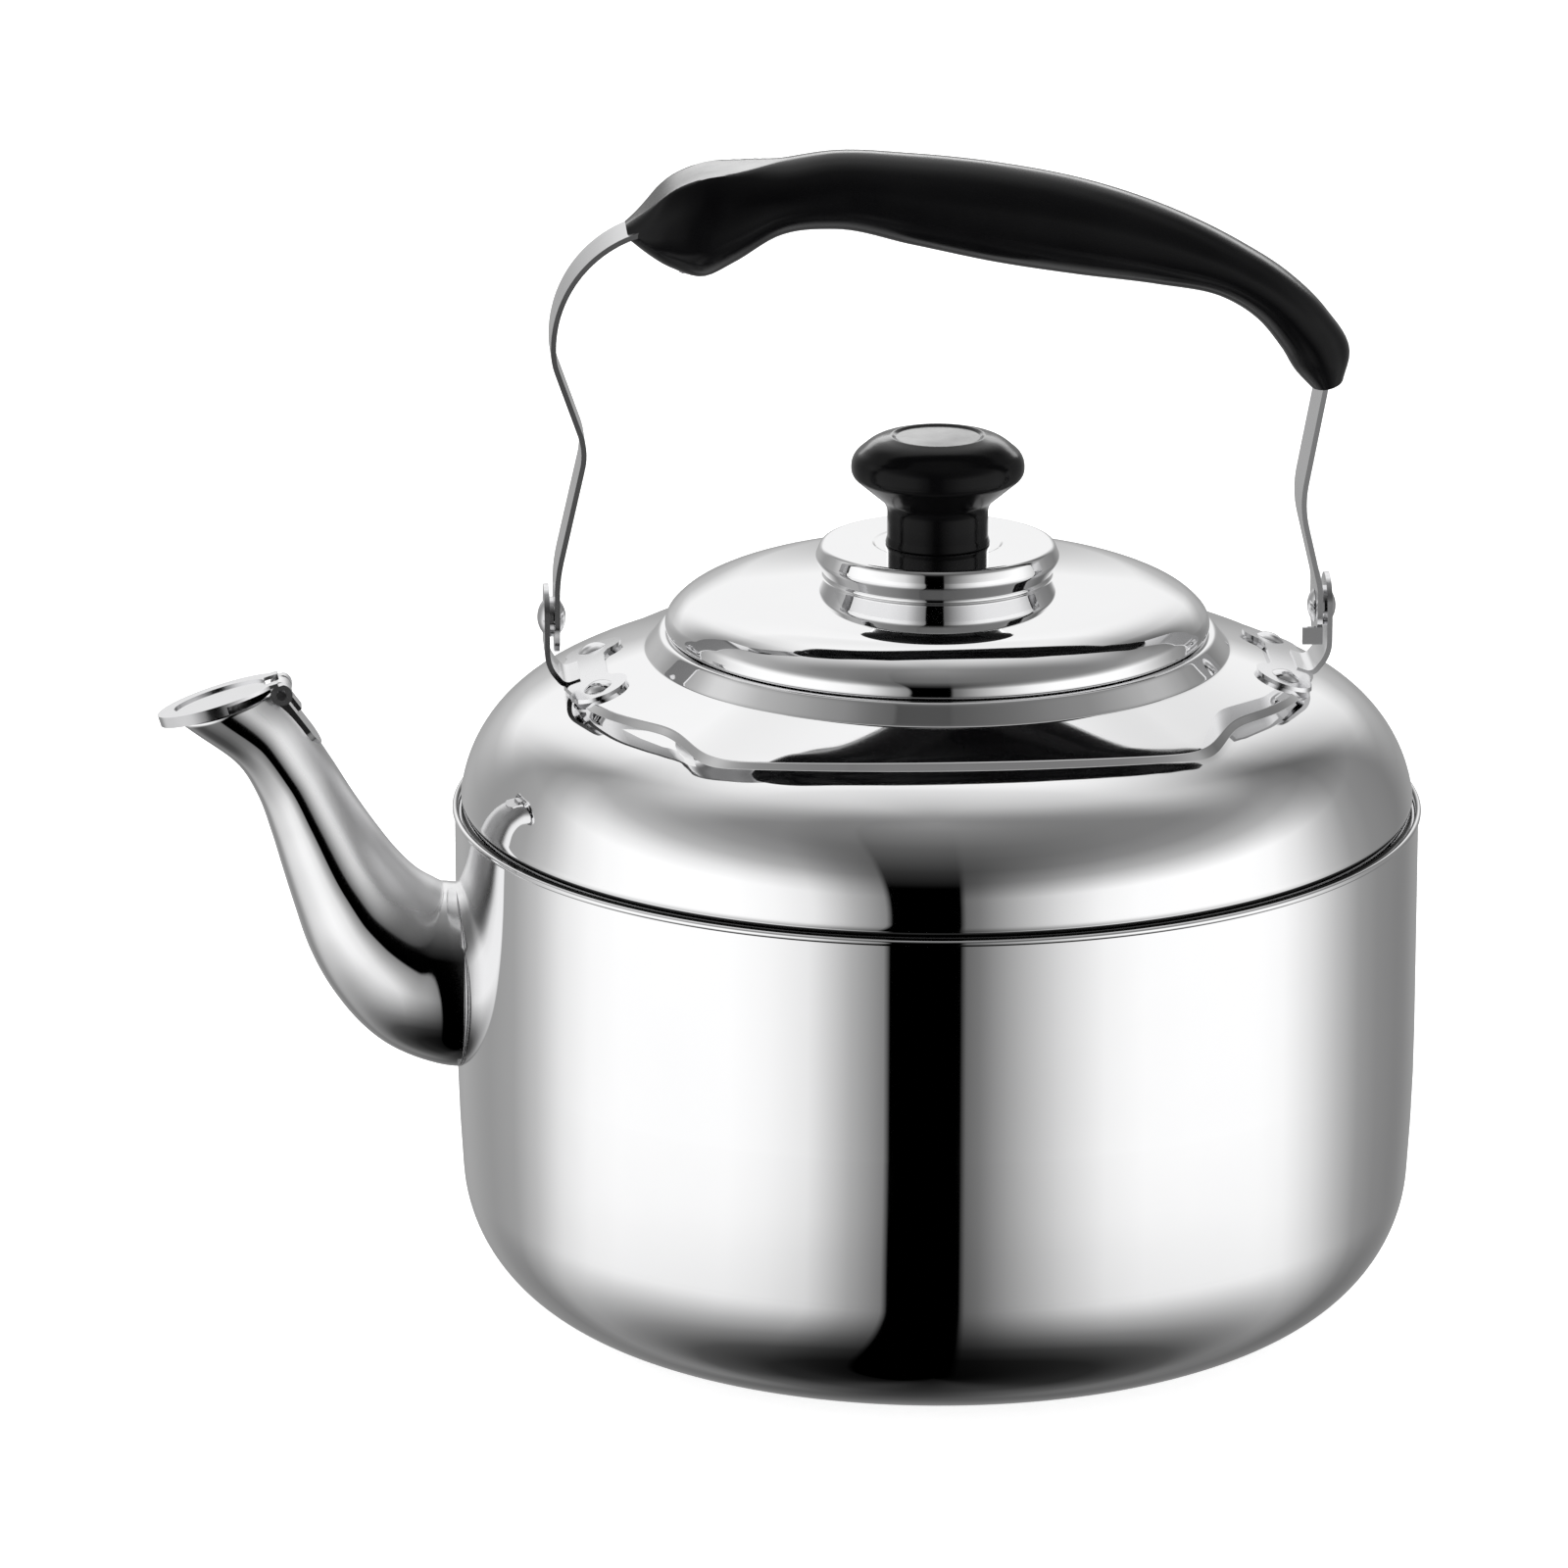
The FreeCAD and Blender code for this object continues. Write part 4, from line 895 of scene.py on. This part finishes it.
def show_paper(tree, background):
    """Plain white behind the kettle for the camera, with the studio's light for everything else."""
    paper = tree.nodes.new("ShaderNodeBackground")
    paper.inputs["Strength"].default_value = 1.0
    paper.inputs["Color"].default_value = (1, 1, 1, 1)
    camera_ray = tree.nodes.new("ShaderNodeLightPath").outputs["Is Camera Ray"]
    mix = tree.nodes.new("ShaderNodeMixShader")
    tree.links.new(camera_ray, mix.inputs["Fac"])
    tree.links.new(background.outputs["Background"], mix.inputs[1])
    tree.links.new(paper.outputs["Background"], mix.inputs[2])
    tree.links.new(mix.outputs["Shader"], tree.nodes["World Output"].inputs["Surface"])


OVERHEAD_ENERGY = 1.5
OVERHEAD_SPREAD = math.radians(70)
OVERHEAD_TURN = (math.radians(-18), math.radians(8), 0)
GLINT_SIZE = (1.6, 0.30)
GLINT_ENERGY = 4.0
GLINT_PLACE = Vector((0.15, 1.5, 0.66))
GLINT_TARGET = Vector((0, 0, 0.22))


def make_overhead():
    """A very soft light from above, for the floor and the duller pieces."""
    sun = bpy.data.lights.new("overhead", "SUN")
    sun.energy = OVERHEAD_ENERGY
    sun.angle = OVERHEAD_SPREAD
    lamp = bpy.data.objects.new("overhead", sun)
    lamp.rotation_euler = OVERHEAD_TURN
    lamp.visible_glossy = False
    bpy.context.scene.collection.objects.link(lamp)


def make_glint():
    """A soft light behind the kettle that only the black mouldings catch."""
    receivers = bpy.data.collections.new("black_mouldings")
    for piece in (GRIP_PIECE, KNOB_PIECE):
        receivers.objects.link(piece)
    data = bpy.data.lights.new("glint", "AREA")
    data.shape = "RECTANGLE"
    data.size, data.size_y = GLINT_SIZE
    data.energy = GLINT_ENERGY
    lamp = bpy.data.objects.new("glint", data)
    lamp.location = GLINT_PLACE
    lamp.rotation_euler = (GLINT_TARGET - GLINT_PLACE).to_track_quat("-Z", "Y").to_euler()
    bpy.context.scene.collection.objects.link(lamp)
    lamp.light_linking.receiver_collection = receivers


def make_camera():
    """Long lens, a little to the spout's side and looking down by about 16 degrees."""
    level = math.cos(CAMERA_TILT)
    across, along = math.sin(CAMERA_AZIMUTH), math.cos(CAMERA_AZIMUTH)
    back = Vector((across * level, -along * level, math.sin(CAMERA_TILT)))
    right = Vector((along, across, 0))
    up = back.cross(right)
    seam = Vector((0, 0, SEAM_Z * MM))
    aim = seam + right * AIM_RIGHT + up * AIM_UP
    data = bpy.data.cameras.new("camera")
    data.sensor_width = 36.0
    data.lens = CAMERA_LENS
    camera = bpy.data.objects.new("camera", data)
    camera.location = seam + back * CAMERA_DISTANCE
    camera.rotation_euler = (aim - camera.location).to_track_quat("-Z", "Y").to_euler()
    bpy.context.scene.collection.objects.link(camera)
    bpy.context.scene.camera = camera


make_floor()
make_studio()
make_overhead()
make_glint()
make_camera()
bpy.context.scene.view_settings.view_transform = "Standard"
